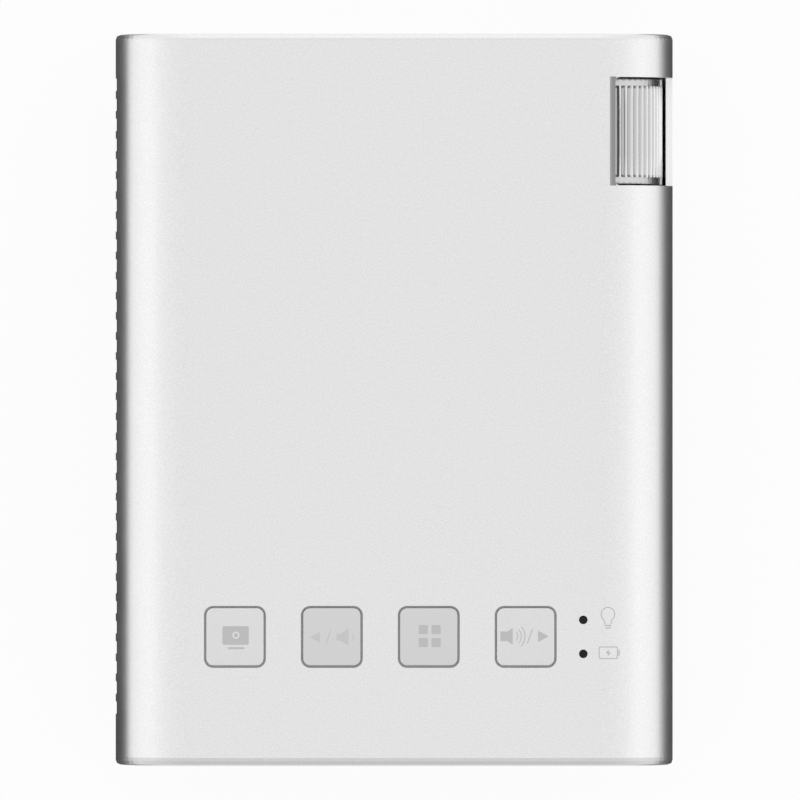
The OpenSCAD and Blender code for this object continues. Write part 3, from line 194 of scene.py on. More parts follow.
def moulded(name, colour, rough=0.5, grain=0.35, depth=0.01, specular=0.5):
    """Moulded plastic with a fine spark-eroded texture."""
    m = Maker(name)
    base = linear(colour)
    light = tuple(min(1, v * 1.35 + 0.002) for v in base[:3]) + (1.0,)
    cells = m.noise(grain, 3.0, 0.6)
    m.set(colour=m.mix(m.spread(cells, 0.0, 0.6, (0.4, 0.8)), base, light), specular=specular)
    m.set(rough=m.spread(m.noise(4.0, 3.0), rough - 0.06, rough + 0.08))
    m.bump(cells, depth, 0.6)
    return m.mat


def bare_metal(name, colour, rough=0.3, stretch=(1, 1, 1), grain=0.25, metal=1.0):
    """Machined or rolled metal with brush marks along one axis."""
    m = Maker(name)
    base = linear(colour)
    dark = tuple(v * 0.72 for v in base[:3]) + (1.0,)
    marks = m.noise(grain, 4.0, 0.6, stretch)
    m.set(colour=m.mix(m.spread(marks, 0.0, 1.0, (0.3, 0.7)), dark, base), metal=metal)
    m.set(rough=m.spread(marks, rough - 0.08, rough + 0.12, (0.3, 0.7)))
    m.bump(marks, 0.006, 0.5)
    return m.mat


def glass(name, colour, tint, clear=1.0):
    """Optical glass with a tinted anti-reflection coating and the faintest dust."""
    m = Maker(name)
    dust = m.noise(0.6, 4.0, 0.7)
    m.set(colour=m.mix(m.spread(dust, 0.0, 0.04, (0.55, 0.75)), linear(colour), linear(235)))
    m.set(glass=clear, ior=1.62, tint=linear(tint), rough=m.spread(dust, 0.0, 0.008, (0.6, 0.8)))
    return m.mat


def board(name, colour, trace, pitch=1.1):
    """Circuit board: solder mask over a net of traces, with small pads."""
    m = Maker(name)
    x, y, _ = m.axes()
    lanes = m.math("PINGPONG", x, pitch / 2)
    rows = m.math("PINGPONG", y, pitch / 2)
    # the traces run one way in some patches and the other way in the rest
    split = m.add("SeparateColor")
    m.join(m.cells(7.0, "Color"), split.inputs[0])
    pick = m.math("GREATER_THAN", split.outputs[0], 0.5)
    other = m.math("SUBTRACT", 1.0, pick)
    way = m.math("ADD", m.math("MULTIPLY", lanes, pick), m.math("MULTIPLY", rows, other))
    on = m.math("LESS_THAN", way, 0.12)
    pads = m.math("LESS_THAN", m.cells(2.3), 0.13)
    tone = m.mix(on, linear(colour), linear(trace))
    m.set(colour=m.mix(pads, tone, linear((196, 170, 96))), metal=m.math("MULTIPLY", pads, 0.9))
    m.set(rough=m.spread(m.noise(1.2, 2.0), 0.28, 0.42), coat=0.2)
    m.bump(m.math("MAXIMUM", on, pads), 0.02, 0.5)
    return m.mat


def print_ink(name, grey, rough=0.5):
    """Grey print: slightly mottled, a little rougher than the paint under it."""
    m = Maker(name)
    grains = m.noise(0.12, 2.0)
    base = linear(grey)
    m.set(colour=m.mix(m.spread(grains, 0.0, 0.5, (0.4, 0.7)), base, linear(min(255, grey + 14))))
    m.set(metal=0.5, rough=m.spread(grains, rough - 0.05, rough + 0.05))
    return m.mat


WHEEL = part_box("focus_ring")
WHEEL_X = (WHEEL[0].x + WHEEL[1].x) / 2 / MM
WHEEL_Z = (WHEEL[0].z + WHEEL[1].z) / 2 / MM
WHEEL_R = (WHEEL[1].x - WHEEL[0].x) / 2 / MM
NOTCH = (WHEEL[0].y / MM - 0.35, WHEEL[1].y / MM + 0.35)
# the bevel along the wheel's notch is painted a darker grey, as painted shade, and the step beyond the wheel is
# painted near white, as a painted highlight
NOTCH_BEVEL_SHADE = ((32.4, NOTCH[0], 25.0), (33.4, NOTCH[1], None), 172)
WHEEL_STEP_HIGHLIGHT = ((WHEEL_X + WHEEL_R, NOTCH[0], 13.0), (None, NOTCH[1], 17.0), 255)
# the two middle keys are painted a little darker, as painted shade for the dimmer light they reflect
MIDDLE_KEYS_SHADE = ((-16, None, None), (12, None, None), 220)


def woven_net(name, thread, hole, pitch):
    """Woven screen seen from the side: round threads every so many millimetres over dark holes."""
    m = Maker(name)
    _, y, z = m.axes()
    along, up = m.math("PINGPONG", y, pitch / 2), m.math("PINGPONG", z, pitch / 2)
    near = m.math("MINIMUM", along, up)
    on = m.spread(near, 1.0, 0.0, (pitch * 0.13, pitch * 0.2))
    m.set(colour=m.mix(on, linear(hole), linear(thread)))
    m.set(rough=m.spread(m.noise(0.4, 3.0), 0.45, 0.6), specular=0.4)
    m.bump(on, 0.08, 0.8)
    return m.mat


def wheel_metal(name):
    """Turned and ribbed metal with brush marks, bright on the ribs; painted shade darkens the grooves, their ends
    under the collars' edges most, and the collars a little.
    """
    m = Maker(name)
    x, y, z = m.axes()
    dx, dz = m.math("SUBTRACT", x, WHEEL_X), m.math("SUBTRACT", z, WHEEL_Z)
    far = m.math("SQRT", m.math("ADD", m.math("MULTIPLY", dx, dx), m.math("MULTIPLY", dz, dz)))
    high = m.spread(far, 0.0, 1.0, (WHEEL_R - 0.42, WHEEL_R - 0.05))
    marks = m.noise(0.2, 3.0, 0.6, (1, 6, 1))

    def near_ends(reach):
        """1 within so many millimetres of either end of the wheel."""
        rear = m.math("LESS_THAN", y, WHEEL[0].y / MM + reach)
        return m.math("MAXIMUM", rear, m.math("GREATER_THAN", y, WHEEL[1].y / MM - reach))

    marks_and_collar_shade = m.mix(m.spread(marks, 0.0, 1.0, (0.35, 0.65)), linear(234), linear(246))
    # the collars are painted a darker grey: painted shade
    marks_and_collar_shade = m.mix(near_ends(1.0), marks_and_collar_shade, linear(208))
    # the grooves are painted darker, and their ends under the collars darker still: painted shade
    low = m.mix(near_ends(1.35), linear(190), linear(116))
    m.set(colour=m.mix(high, low, marks_and_collar_shade), metal=0.95)
    m.set(rough=m.spread(marks, 0.2, 0.27, (0.3, 0.7)))
    m.bump(marks, 0.004, 0.25)
    return m.mat


M = {}


def finish(name, make, *values, **named):
    M[name] = make(name, *values, **named)


finish("sign_grey", print_ink, 194)
finish("sign_faint", print_ink, 204)
finish("sign_line", print_ink, 192)
finish("case_silver", satin_metal, 239, metal=0.95, rough=0.315, cuts=[NOTCH_BEVEL_SHADE, WHEEL_STEP_HIGHLIGHT])
finish("end_plate_silver", satin_metal, 236, metal=0.95, rough=0.33, grain=0.15)
finish("rear_plate", satin_metal, 216, metal=0.95, rough=0.35, grain=0.15)
finish("key_silver", satin_metal, 230, metal=0.8, rough=0.4, grain=0.12, flake=0.04, cuts=[MIDDLE_KEYS_SHADE])
finish("wheel_silver", wheel_metal)
finish("black_plastic", moulded, 32, 0.5)
finish("dark_plastic", moulded, 46, 0.45)
finish("smoked_window", moulded, 14, 0.18, 0.8, 0.002, 0.25)
# darker grey for the keys' skirts: painted shade in the gaps round the caps
finish("key_skirt", satin_metal, 200, metal=0.8, rough=0.4, grain=0.12)
finish("speaker_cone", moulded, 58, 0.7, 0.8, 0.02)
finish("screen_net", woven_net, 74, 12, 0.55)
finish("led_body", moulded, (236, 232, 204), 0.35, 0.3, 0.003)
finish("circuit_board", board, (22, 84, 52), (40, 116, 74))
finish("chip_black", moulded, 38, 0.42, 0.2, 0.006)
finish("chip_ceramic", moulded, (150, 152, 156), 0.3, 0.4, 0.003)
finish("connector_ivory", moulded, (230, 224, 206), 0.42, 0.4, 0.005)
finish("switch_metal", bare_metal, 176, 0.34, (1, 6, 1))
finish("bright_steel", bare_metal, 196, 0.24, (1, 8, 1))
finish("screw_steel", bare_metal, 150, 0.32, (1, 1, 5))
finish("engine_metal", moulded, (74, 77, 82), 0.45, 0.5, 0.012)
finish("bare_aluminium", bare_metal, 205, 0.3, (1, 7, 1))
finish("copper", bare_metal, (205, 128, 84), 0.3, (7, 1, 1))
finish("brass", bare_metal, (206, 172, 98), 0.26, (1, 1, 6))
finish("lens_glass", glass, (222, 230, 236), (198, 184, 255))
finish("dichroic_glass", glass, (226, 160, 216), (110, 255, 190), 0.9)
finish("cell_wrap", moulded, (92, 108, 132), 0.3, 2.5, 0.02)
finish("ribbon", moulded, (224, 216, 196), 0.35, 0.6, 0.003)
finish("lead_red", moulded, (150, 40, 34), 0.42, 0.5, 0.004)
finish("lead_black", moulded, 30, 0.42, 0.5, 0.004)
finish("foot_rubber", moulded, 52, 0.8, 0.25, 0.02, 0.25)

slots = {part["node"]: part["material_slot"] for part in frame["record"]["subparts"]}
own = {"rear_panel": "rear_plate", "dust_screen": "screen_net"}
for name, obj in nodes.items():
    obj.data.materials.clear()
    obj.data.materials.append(M[own.get(name, slots[name])])


# ---------------------------------------------------------------- mesh tools

def finish_mesh(name, bm, look, body="case", stands_for=(), smooth=40):
    """Makes a piece of a bmesh in millimetres, with its finish, its body and the CAD nodes it stands for."""
    bmesh.ops.scale(bm, vec=(MM, MM, MM), verts=bm.verts)
    bmesh.ops.recalc_face_normals(bm, faces=bm.faces)
    mesh = bpy.data.meshes.new(name)
    bm.to_mesh(mesh)
    bm.free()
    mesh.materials.append(M[look])
    for face in mesh.polygons:
        face.use_smooth = True
    mesh.set_sharp_from_angle(angle=math.radians(smooth))
    piece = bpy.data.objects.new(name, mesh)
    bpy.context.collection.objects.link(piece)
    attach(piece, body)
    if stands_for:
        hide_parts(*stands_for)
    return piece


def middle(low, high):
    """The middle of a box, as x, y and z, and half its width."""
    return (*((a + b) / 2 for a, b in zip(low, high)), (high.x - low.x) / 2)


def disc(x, y, r, n=20, turn=0.0):
    """Points round a circle; r is the radius, or a function that gives it for point i."""
    points = []
    for i in range(n):
        a = 2 * math.pi * i / n + turn
        q = r(i) if callable(r) else r
        points.append((x + q * math.cos(a), y + q * math.sin(a)))
    return points


def skin(bm, loops):
    """Faces between each two neighbouring loops of vertices, which have equal counts."""
    for a, b in zip(loops, loops[1:]):
        for i in range(len(a)):
            j = (i + 1) % len(a)
            bm.faces.new((a[i], a[j], b[j], b[i]))


def stack(bm, rings, close=True):
    """Skin over rings of equal count; with close, the first and last get a flat end."""
    loops = [[bm.verts.new(p) for p in ring] for ring in rings]
    skin(bm, loops)
    if close:
        bm.faces.new(loops[0])
        bm.faces.new(loops[-1])
    return loops


def turned(bm, profile, at, axis, sides=64, closed=False):
    """Turned form about an axis ('x', 'y' or 'z') through at; the profile is (place along the axis, radius).

    A closed profile comes back to its first point, as a ring's does.
    """
    rings = []
    for along, radius in profile:
        rings.append([{
            "x": (along, at[1] + u, at[2] + v), "y": (at[0] + u, along, at[2] + v),
            "z": (at[0] + u, at[1] + v, along),
        }[axis] for u, v in disc(0, 0, radius, sides)])
    loops = stack(bm, rings, close=not closed)
    if closed:
        skin(bm, (loops[-1], loops[0]))


def round_rect(w, h, r, per=8):
    """Loop of a rectangle with round corners about the origin, counter-clockwise."""
    loop = []
    for cx, cy, start in ((1, 1, 0), (-1, 1, 90), (-1, -1, 180), (1, -1, 270)):
        for i in range(per + 1):
            a = math.radians(start + 90 * i / per)
            loop.append((cx * (w / 2 - r) + r * math.cos(a), cy * (h / 2 - r) + r * math.sin(a)))
    return loop


def block(bm, low, high, r=0.0, per=2):
    """Box between two corners in millimetres with its edges eased by r."""
    (x0, y0, z0), (x1, y1, z1) = low, high
    verts = [bm.verts.new((x, y, z)) for x in (x0, x1) for y in (y0, y1) for z in (z0, z1)]
    faces = [bm.faces.new([verts[i] for i in f]) for f in
             ((0, 1, 3, 2), (4, 6, 7, 5), (0, 4, 5, 1), (2, 3, 7, 6), (0, 2, 6, 4), (1, 5, 7, 3))]
    if r:
        edges = {e for f in faces for e in f.edges}
        bmesh.ops.bevel(bm, geom=list(edges), offset=r, segments=per, profile=0.5, affect="EDGES")


def mm_box(node):
    low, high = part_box(node)
    return low / MM, high / MM


def cut(piece, cutter):
    """Takes the cutter's solid out of the piece, for good."""
    mod = piece.modifiers.new("cut", "BOOLEAN")
    mod.operation = "DIFFERENCE"
    mod.solver = "EXACT"
    mod.object = cutter
    graph = bpy.context.evaluated_depsgraph_get()
    mesh = bpy.data.meshes.new_from_object(piece.evaluated_get(graph))
    piece.modifiers.clear()
    piece.data = mesh
    bpy.data.objects.remove(cutter)


# ---------------------------------------------------------------- keys

KEYS = {
    "key_display": "display_key", "key_back": "back_key", "key_menu": "menu_key", "key_forward": "forward_key",
}


def keycap(node, body):
    """Cap with an eased top, on its flange and stem; the skirt and stem under the cap are painted a darker grey, as
    painted shade in the gap round the cap.
    """
    low, high = mm_box(node)
    x, y = middle(low, high)[:2]
    flange = high.x - low.x
    cap = flange - 1.8
    top = high.z
    ease, ease_steps = 0.22, 6
    bm = bmesh.new()
    rings = []
    for w, r, z in [(flange - 0.2, 1.3, top - 2.4), (flange, 1.4, top - 2.3), (flange, 1.4, top - 1.5),
                    (flange - 0.2, 1.3, top - 1.4), (cap, 1.1, top - 1.4), (cap, 1.1, top - 0.8)]:
        rings.append([(x + u, y + v, z) for u, v in round_rect(w, w, r)])
    for i in range(ease_steps + 1):
        a = math.radians(90 * i / ease_steps)
        inset = ease * (1 - math.cos(a))
        rings.append([
            (x + u, y + v, top - ease + ease * math.sin(a))
            for u, v in round_rect(cap - 2 * inset, cap - 2 * inset, 1.1 - inset)
        ])
    stack(bm, rings)
    turned(bm, [(low.z, 0.85), (low.z + 0.15, 1.0), (top - 2.3, 1.0)], (x, y, 0), "z", 24)
    piece = finish_mesh(node.replace("key_", "cap_"), bm, "key_silver", body, (node,))
    # the faces low in the gap round the cap get the darker grey: painted shade
    piece.data.materials.append(M["key_skirt"])
    for face in piece.data.polygons:
        if face.center.z < (top - 0.75) * MM:
            face.material_index = 1


for node, body in KEYS.items():
    keycap(node, body)


# ---------------------------------------------------------------- printed signs

def dense(loop, step=0.25):
    """The same outline with a point at least every so many millimetres."""
    made = []
    for a, b in zip(loop, loop[1:] + loop[:1]):
        parts = max(1, math.ceil(math.dist(a, b) / step))
        made += [(a[0] + (b[0] - a[0]) * k / parts, a[1] + (b[1] - a[1]) * k / parts) for k in range(parts)]
    return made


case_mesh = nodes["top_cover"].data
case_top = BVHTree.FromPolygons([v.co for v in case_mesh.vertices], [tuple(f.vertices) for f in case_mesh.polygons])


def cover_height(x, y):
    """Height of the top cover's face above a place, in millimetres."""
    return case_top.ray_cast(Vector((x * MM, y * MM, 0.04)), Vector((0, 0, -1)))[0].z / MM


def print_shapes(name, shapes, z, ink, body, thick=0.012):
    """Thin print on a face that looks up: each shape is a loop, or a (loop, hole) pair, in millimetres.

    z is the face's height, or None for print that follows the top cover.
    """
    bm = bmesh.new()
    for shape in shapes:
        outer, hole = shape if isinstance(shape, tuple) else (shape, None)
        if z is None:
            outer, hole = dense(outer), hole and dense(hole)
        levels = []
        for level in (0, thick):
            rings, edges = [], []
            for loop in (outer, hole or []):
                ring = [bm.verts.new((u, v, (cover_height(u, v) if z is None else z) + level)) for u, v in loop]
                edges += [bm.edges.new((a, b)) for a, b in zip(ring, ring[1:] + ring[:1])]
                rings.append(ring)
            bmesh.ops.triangle_fill(bm, use_beauty=True, edges=edges)
            levels.append(rings)
        for lower, upper in zip(*levels):
            skin(bm, (lower, upper))
    return finish_mesh(name, bm, ink, body)


def shift(loop, x, y):
    return [(x + u, y + v) for u, v in loop]


def arc_band(x, y, r, width, start, end, n):
    angles = [math.radians(start + (end - start) * i / n) for i in range(n + 1)]
    outer = [(x + (r + width / 2) * math.cos(a), y + (r + width / 2) * math.sin(a)) for a in angles]
    inner = [(x + (r - width / 2) * math.cos(a), y + (r - width / 2) * math.sin(a)) for a in reversed(angles)]
    return outer + inner


def bar(x0, y0, x1, y1, width):
    along = Vector((x1 - x0, y1 - y0)).normalized()
    side = Vector((-along.y, along.x)) * width / 2
    corners = ((x0, y0, -1), (x1, y1, -1), (x1, y1, 1), (x0, y0, 1))
    return [(x + way * side.x, y + way * side.y) for x, y, way in corners]


top_z = mm_box("top_cover")[1].z
centres = {node: middle(*mm_box(node))[:2] for node in KEYS}

# a screen on its stand, with a small ring in it
x, y = centres["key_display"]
screen = shift(round_rect(3.95, 2.8, 0.2, 3), x + 0.1, y + 0.2)
print_shapes("sign_display", [(screen, disc(x + 0.15, y + 0.25, 0.55)), disc(x + 0.15, y + 0.25, 0.3, 16),
                              shift(round_rect(2.5, 0.3, 0.1, 2), x + 0.2, y - 1.7)],
             top_z, "sign_grey", "display_key")

# back, and softer sound
x, y = centres["key_back"]
y -= 0.08
print_shapes("sign_back", [
    shift([(-3.3, 0), (-1.8, 0.78), (-1.8, -0.78)], x, y),
    bar(x - 0.95, y - 1.15, x - 0.15, y + 1.15, 0.17),
    shift([(0.68, -0.48), (1.3, -0.48), (2.5, -1.25), (2.5, 1.3), (1.3, 0.5), (0.68, 0.5)], x, y),
    arc_band(x + 2.15, y, 1.05, 0.17, -28, 28, 6),
], top_z, "sign_faint", "back_key")

# four round-cornered tiles
x, y = centres["key_menu"]
print_shapes("sign_menu", [
    shift(round_rect(1.38, 1.36, 0.16, 4), x + 0.14 + i * 0.96, y + 0.12 + j * 0.97)
    for i in (-1, 1) for j in (-1, 1)
], top_z, "sign_grey", "menu_key")

# louder sound, and forward
x, y = centres["key_forward"]
y += 0.08
print_shapes("sign_forward", [
    shift([(-3.8, -0.72), (-2.75, -0.72), (-1.95, -1.25), (-1.95, 1.25), (-2.75, 0.72), (-3.8, 0.72)], x, y),
    arc_band(x - 2.25, y, 1.05, 0.15, -38, 38, 6),
    arc_band(x - 2.25, y, 1.6, 0.15, -40, 40, 8),
    arc_band(x - 2.25, y, 2.15, 0.15, -42, 42, 8),
    bar(x + 0.25, y - 1.05, x + 1.05, y + 1.15, 0.16),
    shift([(3.45, 0), (1.85, 0.85), (1.85, -0.85)], x, y),
], top_z, "sign_grey", "forward_key")

# a lamp and a battery beside the indicators
led_x, led_y = middle(*mm_box("light_pipes"))[:2]
x, y = led_x + 3.7, led_y + 2.95
print_shapes("sign_lamp", [
    arc_band(x, y + 0.45, 1.02, 0.15, -54, 234, 28),
    bar(x - 0.6, y - 0.38, x - 0.42, y - 1.05, 0.15), bar(x + 0.6, y - 0.38, x + 0.42, y - 1.05, 0.15),
    shift(round_rect(1.05, 0.2, 0.06, 2), x, y - 1.25), shift(round_rect(0.8, 0.18, 0.06, 2), x, y - 1.62),
], None, "sign_line", "case")
x, y = led_x + 3.85, led_y - 2.4
print_shapes("sign_battery", [
    (shift(round_rect(2.9, 1.9, 0.3, 4), x - 0.1, y), shift(round_rect(2.6, 1.6, 0.18, 4), x - 0.1, y)),
    shift(round_rect(0.2, 0.9, 0.06, 2), x + 1.52, y),
    shift([(0.05, 0.6), (-0.5, -0.08), (-0.12, -0.08), (-0.25, -0.6), (0.3, 0.08), (-0.08, 0.08)], x, y),
], None, "sign_line", "case")


# ---------------------------------------------------------------- focus wheel

def focus_wheel():
    """Ribbed wheel between two collars; the collars reach a little past the CAD ring's ends."""
    low, high = mm_box("focus_ring")
    x, _, z, r = middle(low, high)
    bore, ribs, deep = r - 3.0, 68, 0.42
    per = 10
    sides = ribs * per
    narrow = 1.4  # over 1, the ribs get narrower than the grooves
    # at rest a groove lies along the notch's bevel, as in the photo
    turn = math.radians(1.45)

    def ring(y, radius, depth=0.0):
        def ribbed(i):
            wave = 0.5 - 0.5 * math.cos(2 * math.pi * ((i % per) / per))
            return radius - depth * (1 - wave ** narrow)

        return [(u, y, v) for u, v in disc(x, z, ribbed, sides, turn)]

    y0, y1 = low.y - 0.2, high.y + 0.2
    bm = bmesh.new()
    # the rear collar from its inner edge to the ribs, as (inset, radius, depth of the grooves)
    collar = [(0, r - 1.2, 0), (0, r - 0.12, 0), (0.04, r - 0.04, 0), (0.16, r, 0), (1.15, r, 0),
              (1.22, r - 0.03, deep * 0.3), (1.3, r, deep)]
    rings = [ring(low.y, bore), ring(low.y, r - 1.3)] + [ring(y0 + inset, q, d) for inset, q, d in collar]
    rings += [ring(y0 + 1.3 + (y1 - y0 - 2.6) * i / 4, r, deep) for i in range(1, 4)]
    rings += [ring(y1 - inset, q, d) for inset, q, d in reversed(collar)]
    rings += [ring(high.y, r - 1.3), ring(high.y, bore)]
    loops = stack(bm, rings, close=False)
    skin(bm, (loops[-1], loops[0]))
    finish_mesh("ribbed_wheel", bm, "wheel_silver", "focus_wheel", ("focus_ring",), 50)


focus_wheel()


# ---------------------------------------------------------------- lens

def lens_parts():
    """Barrel with a stepped mouth round the front lens, and the surround that steps down to the barrel."""
    low, high = mm_box("lens_barrel")
    x, _, z, r = middle(low, high)
    y0, y1 = low.y, high.y
    front = mm_box("front_lens")
    glass_r = front[1].x - x
    profile = [(y0 + 0.2, glass_r + 0.05), (y0, glass_r + 0.3), (y0, r - 0.25), (y0 + 0.25, r)]
    profile += [(y1 - 0.3, r), (y1, r - 0.3), (y1, glass_r + 0.35)]
    # the mouth steps down to the retaining ring
    for i in range(4):
        q = glass_r + 0.3 - 0.12 * i
        profile += [(y1 - 0.22 * i - 0.02, q), (y1 - 0.22 * i - 0.2, q)]
    profile += [(front[1].y - 0.15, glass_r - 0.45), (front[1].y - 0.4, glass_r + 0.05)]
    profile += [(front[0].y - 0.05, glass_r + 0.05)]
    profile += [(front[0].y - 0.05, glass_r - 1.1), (y0 + 3.5, glass_r - 1.1), (y0 + 3.5, glass_r + 0.05)]
    bm = bmesh.new()
    turned(bm, profile, (x, 0, z), "y", 96, closed=True)
    finish_mesh("stepped_barrel", bm, "black_plastic", "lens", ("lens_barrel",), 30)

    low, high = mm_box("lens_surround")
    outer = (high.x - low.x) / 2
    y0, y1 = low.y, high.y
    rim = outer - 1.2
    mouth = r + 0.25
    profile = [(y0, mouth), (y0, outer - 0.1), (y0 + 0.1, outer), (y0 + 1.2, outer), (y0 + 1.3, rim)]
    profile += [(y1 - 0.2, rim), (y1 - 0.06, rim - 0.06), (y1, rim - 0.2), (y1, rim - 0.42)]
    steps = 5
    for i in range(steps):
        a = (rim - 0.5) + (mouth + 0.02 - rim + 0.5) * i / steps
        profile += [(y1 - 0.1 - 0.42 * i, a), (y1 - 0.42 * (i + 1), a)]
    bm = bmesh.new()
    turned(bm, profile, (x, 0, z), "y", 96, closed=True)
    finish_mesh("stepped_surround", bm, "black_plastic", "case", ("lens_surround",), 30)


lens_parts()


# ---------------------------------------------------------------- screws, feet and tripod thread

def screw(bm, x, y, z_face, way, head_r, head_t, shank_r, length, pitch=0.7):
    """Cross-recessed screw; z_face is the head's outer face, way +1 if its shank runs up from the head."""
    sides = 36
    face = 0.08  # the head's flat face lies this far under its highest place

    def at(depth):
        return z_face + way * depth

    def round_row(radius, depth):
        return [bm.verts.new((u, v, at(depth))) for u, v in disc(x, y, radius, sides)]

    # the head's face carries a cross recess: arms that dip towards the middle
    arm, half, deep = head_r * 0.62, head_r * 0.17, head_t * 0.55
    rings = []
    for scale, depth in ((1.0, 0.0), (0.72, deep * 0.6), (0.35, deep)):
        ring = []
        for q in range(4):
            c, s = math.cos(q * math.pi / 2), math.sin(q * math.pi / 2)
            for u, v in ((arm * scale, -half * scale), (arm * scale, half * scale), (half * scale, half * scale)):
                ring.append((x + u * c - v * s, y + u * s + v * c, at(depth + face)))
        rings.append(ring)
    loops = stack(bm, rings, close=False)
    bm.faces.new(loops[-1])
    circle = round_row(head_r * 0.86, face)
    edges = [bm.edges.new((a, b)) for a, b in zip(circle, circle[1:] + circle[:1])]
    edges += [e for e in (bm.edges.get((a, b)) for a, b in zip(loops[0], loops[0][1:] + loops[0][:1])) if e]
    bmesh.ops.triangle_fill(bm, use_beauty=True, edges=edges)
    rows = [circle]
    for depth, scale in ((0.1, 0.95), (0.26, 1.0), (head_t - 0.06, 1.0), (head_t, 0.94)):
        rows.append(round_row(head_r * scale, depth))
    # four rows to a turn of the thread
    for k in range(int((length - head_t - 0.3) / pitch * 4)):
        def threaded(i):
            t = (k / 4 + i / sides) % 1.0
            return shank_r - 0.16 * abs(2 * t - 1) if k > 1 else shank_r - 0.1

        rows.append(round_row(threaded, head_t + 0.02 + k * pitch / 4))
    rows.append(round_row(shank_r * 0.45, length))
    skin(bm, rows)
    bm.faces.new(rows[-1])


def islands(node):
    """Lowest and highest corner of each separate solid of a node, in millimetres."""
    bm = bmesh.new()
    bm.from_mesh(nodes[node].data)
    bmesh.ops.remove_doubles(bm, verts=bm.verts, dist=1e-6)
    seen, found = set(), []
    for start in bm.verts:
        if start in seen:
            continue
        group, queue = [], [start]
        seen.add(start)
        while queue:
            v = queue.pop()
            group.append(v.co.copy())
            for e in v.link_edges:
                other = e.other_vert(v)
                if other not in seen:
                    seen.add(other)
                    queue.append(other)
        low = Vector([min(c[i] for c in group) for i in range(3)]) / MM
        high = Vector([max(c[i] for c in group) for i in range(3)]) / MM
        found.append((low, high))
    bm.free()
    return found


bm = bmesh.new()
for low, high in islands("cover_screws"):
    x, y, _, r = middle(low, high)
    screw(bm, x, y, low.z, 1, r, 1.4, 0.9, high.z - low.z)
finish_mesh("cross_screws", bm, "screw_steel", "case", ("cover_screws",), 35)

bm = bmesh.new()
for low, high in islands("rubber_feet"):
    x, y, _, r = middle(low, high)
    turned(bm, [(0.0, r - 1.3), (0.0, r - 0.45), (0.06, r - 0.2), (0.2, r - 0.06), (0.4, r), (high.z, r)],
           (x, y, 0), "z", 72)
finish_mesh("eased_feet", bm, "foot_rubber", "case", ("rubber_feet",), 35)


def tripod_insert():
    """Flanged insert with a quarter-inch thread of 20 turns to the inch in its blind bore."""
    low, high = mm_box("tripod_nut")
    x, y, _, r = middle(low, high)
    sides, pitch, bore = 64, 1.27, 2.6
    centre_r = 0.0001  # rows this small are joined to one point
    neck = r - 1.0
    shoulder = low.z + 1.3
    outer = [(high.z, centre_r), (high.z, r - 0.2), (high.z - 0.2, r), (shoulder, r), (shoulder, neck)]
    outer += [(low.z + 0.15, neck), (low.z, neck - 0.15), (low.z, bore + 0.45), (low.z + 0.35, bore + 0.1)]

    def row(radius, height):
        return [(u, v, height) for u, v in disc(x, y, radius, sides)]

    rings = [row(q, h) for h, q in outer]
    depth = high.z - 0.8 - low.z
    for k in range(int((depth - 0.5) / (pitch / 8))):
        def threaded(i):
            t = (k / 8 + i / sides) % 1.0
            return bore + 0.02 + 0.42 * abs(2 * t - 1)

        rings.append(row(threaded, low.z + 0.45 + k * pitch / 8))
    rings.append(row(centre_r, low.z + depth))
    bm = bmesh.new()
    stack(bm, rings, close=False)
    bmesh.ops.remove_doubles(bm, verts=bm.verts, dist=0.001)
    finish_mesh("threaded_insert", bm, "brass", "case", ("tripod_nut",), 50)


tripod_insert()


# ---------------------------------------------------------------- sockets and power slider

def rounded(points, ease, per=4):
    """Loop through a polygon's corners, each eased over its own length."""
    loop = []
    count = len(points)
    for i in range(count):
        here = Vector(points[i])
        back = (Vector(points[i - 1]) - here).normalized() * ease[i]
        on = (Vector(points[(i + 1) % count]) - here).normalized() * ease[i]
        for k in range(per + 1):
            t = k / per
            loop.append(tuple(here + back * (1 - t) ** 2 + on * t ** 2))
    return loop


def laid(loop, y, grow=0.0):
    """A loop in x and z, laid at y and grown by so many millimetres."""
    xs, zs = [p[0] for p in loop], [p[1] for p in loop]
    cx, cz = (min(xs) + max(xs)) / 2, (min(zs) + max(zs)) / 2
    fx, fz = 1 + 2 * grow / (max(xs) - min(xs)), 1 + 2 * grow / (max(zs) - min(zs))
    return [(cx + (u - cx) * fx, y, cz + (v - cz) * fz) for u, v in loop]


def drawn_shell(bm, outer, wall, y0, y1, deep):
    """Drawn shell of a socket, open at y0 with a rolled lip, closed at deep."""
    stack(bm, [
        laid(outer, y1), laid(outer, y0 + 0.14), laid(outer, y0, -0.12), laid(outer, y0, 0.1 - wall),
        laid(outer, y0 + 0.14, -wall), laid(outer, deep, -wall),
    ])


def leaf(bm, path, across, half, thick=0.14):
    """Leaf spring along a path of (y, height); across is 'x' or 'z', the way of its width, with its middle."""
    way, centre = across
    rings = []
    for y, height in path:
        ring = []
        for u, v in ((-half, 0), (half, 0), (half, thick), (-half, thick)):
            ring.append((centre + u, y, height + v) if way == "x" else (height + v, y, centre + u))
        rings.append(ring)
    stack(bm, rings)


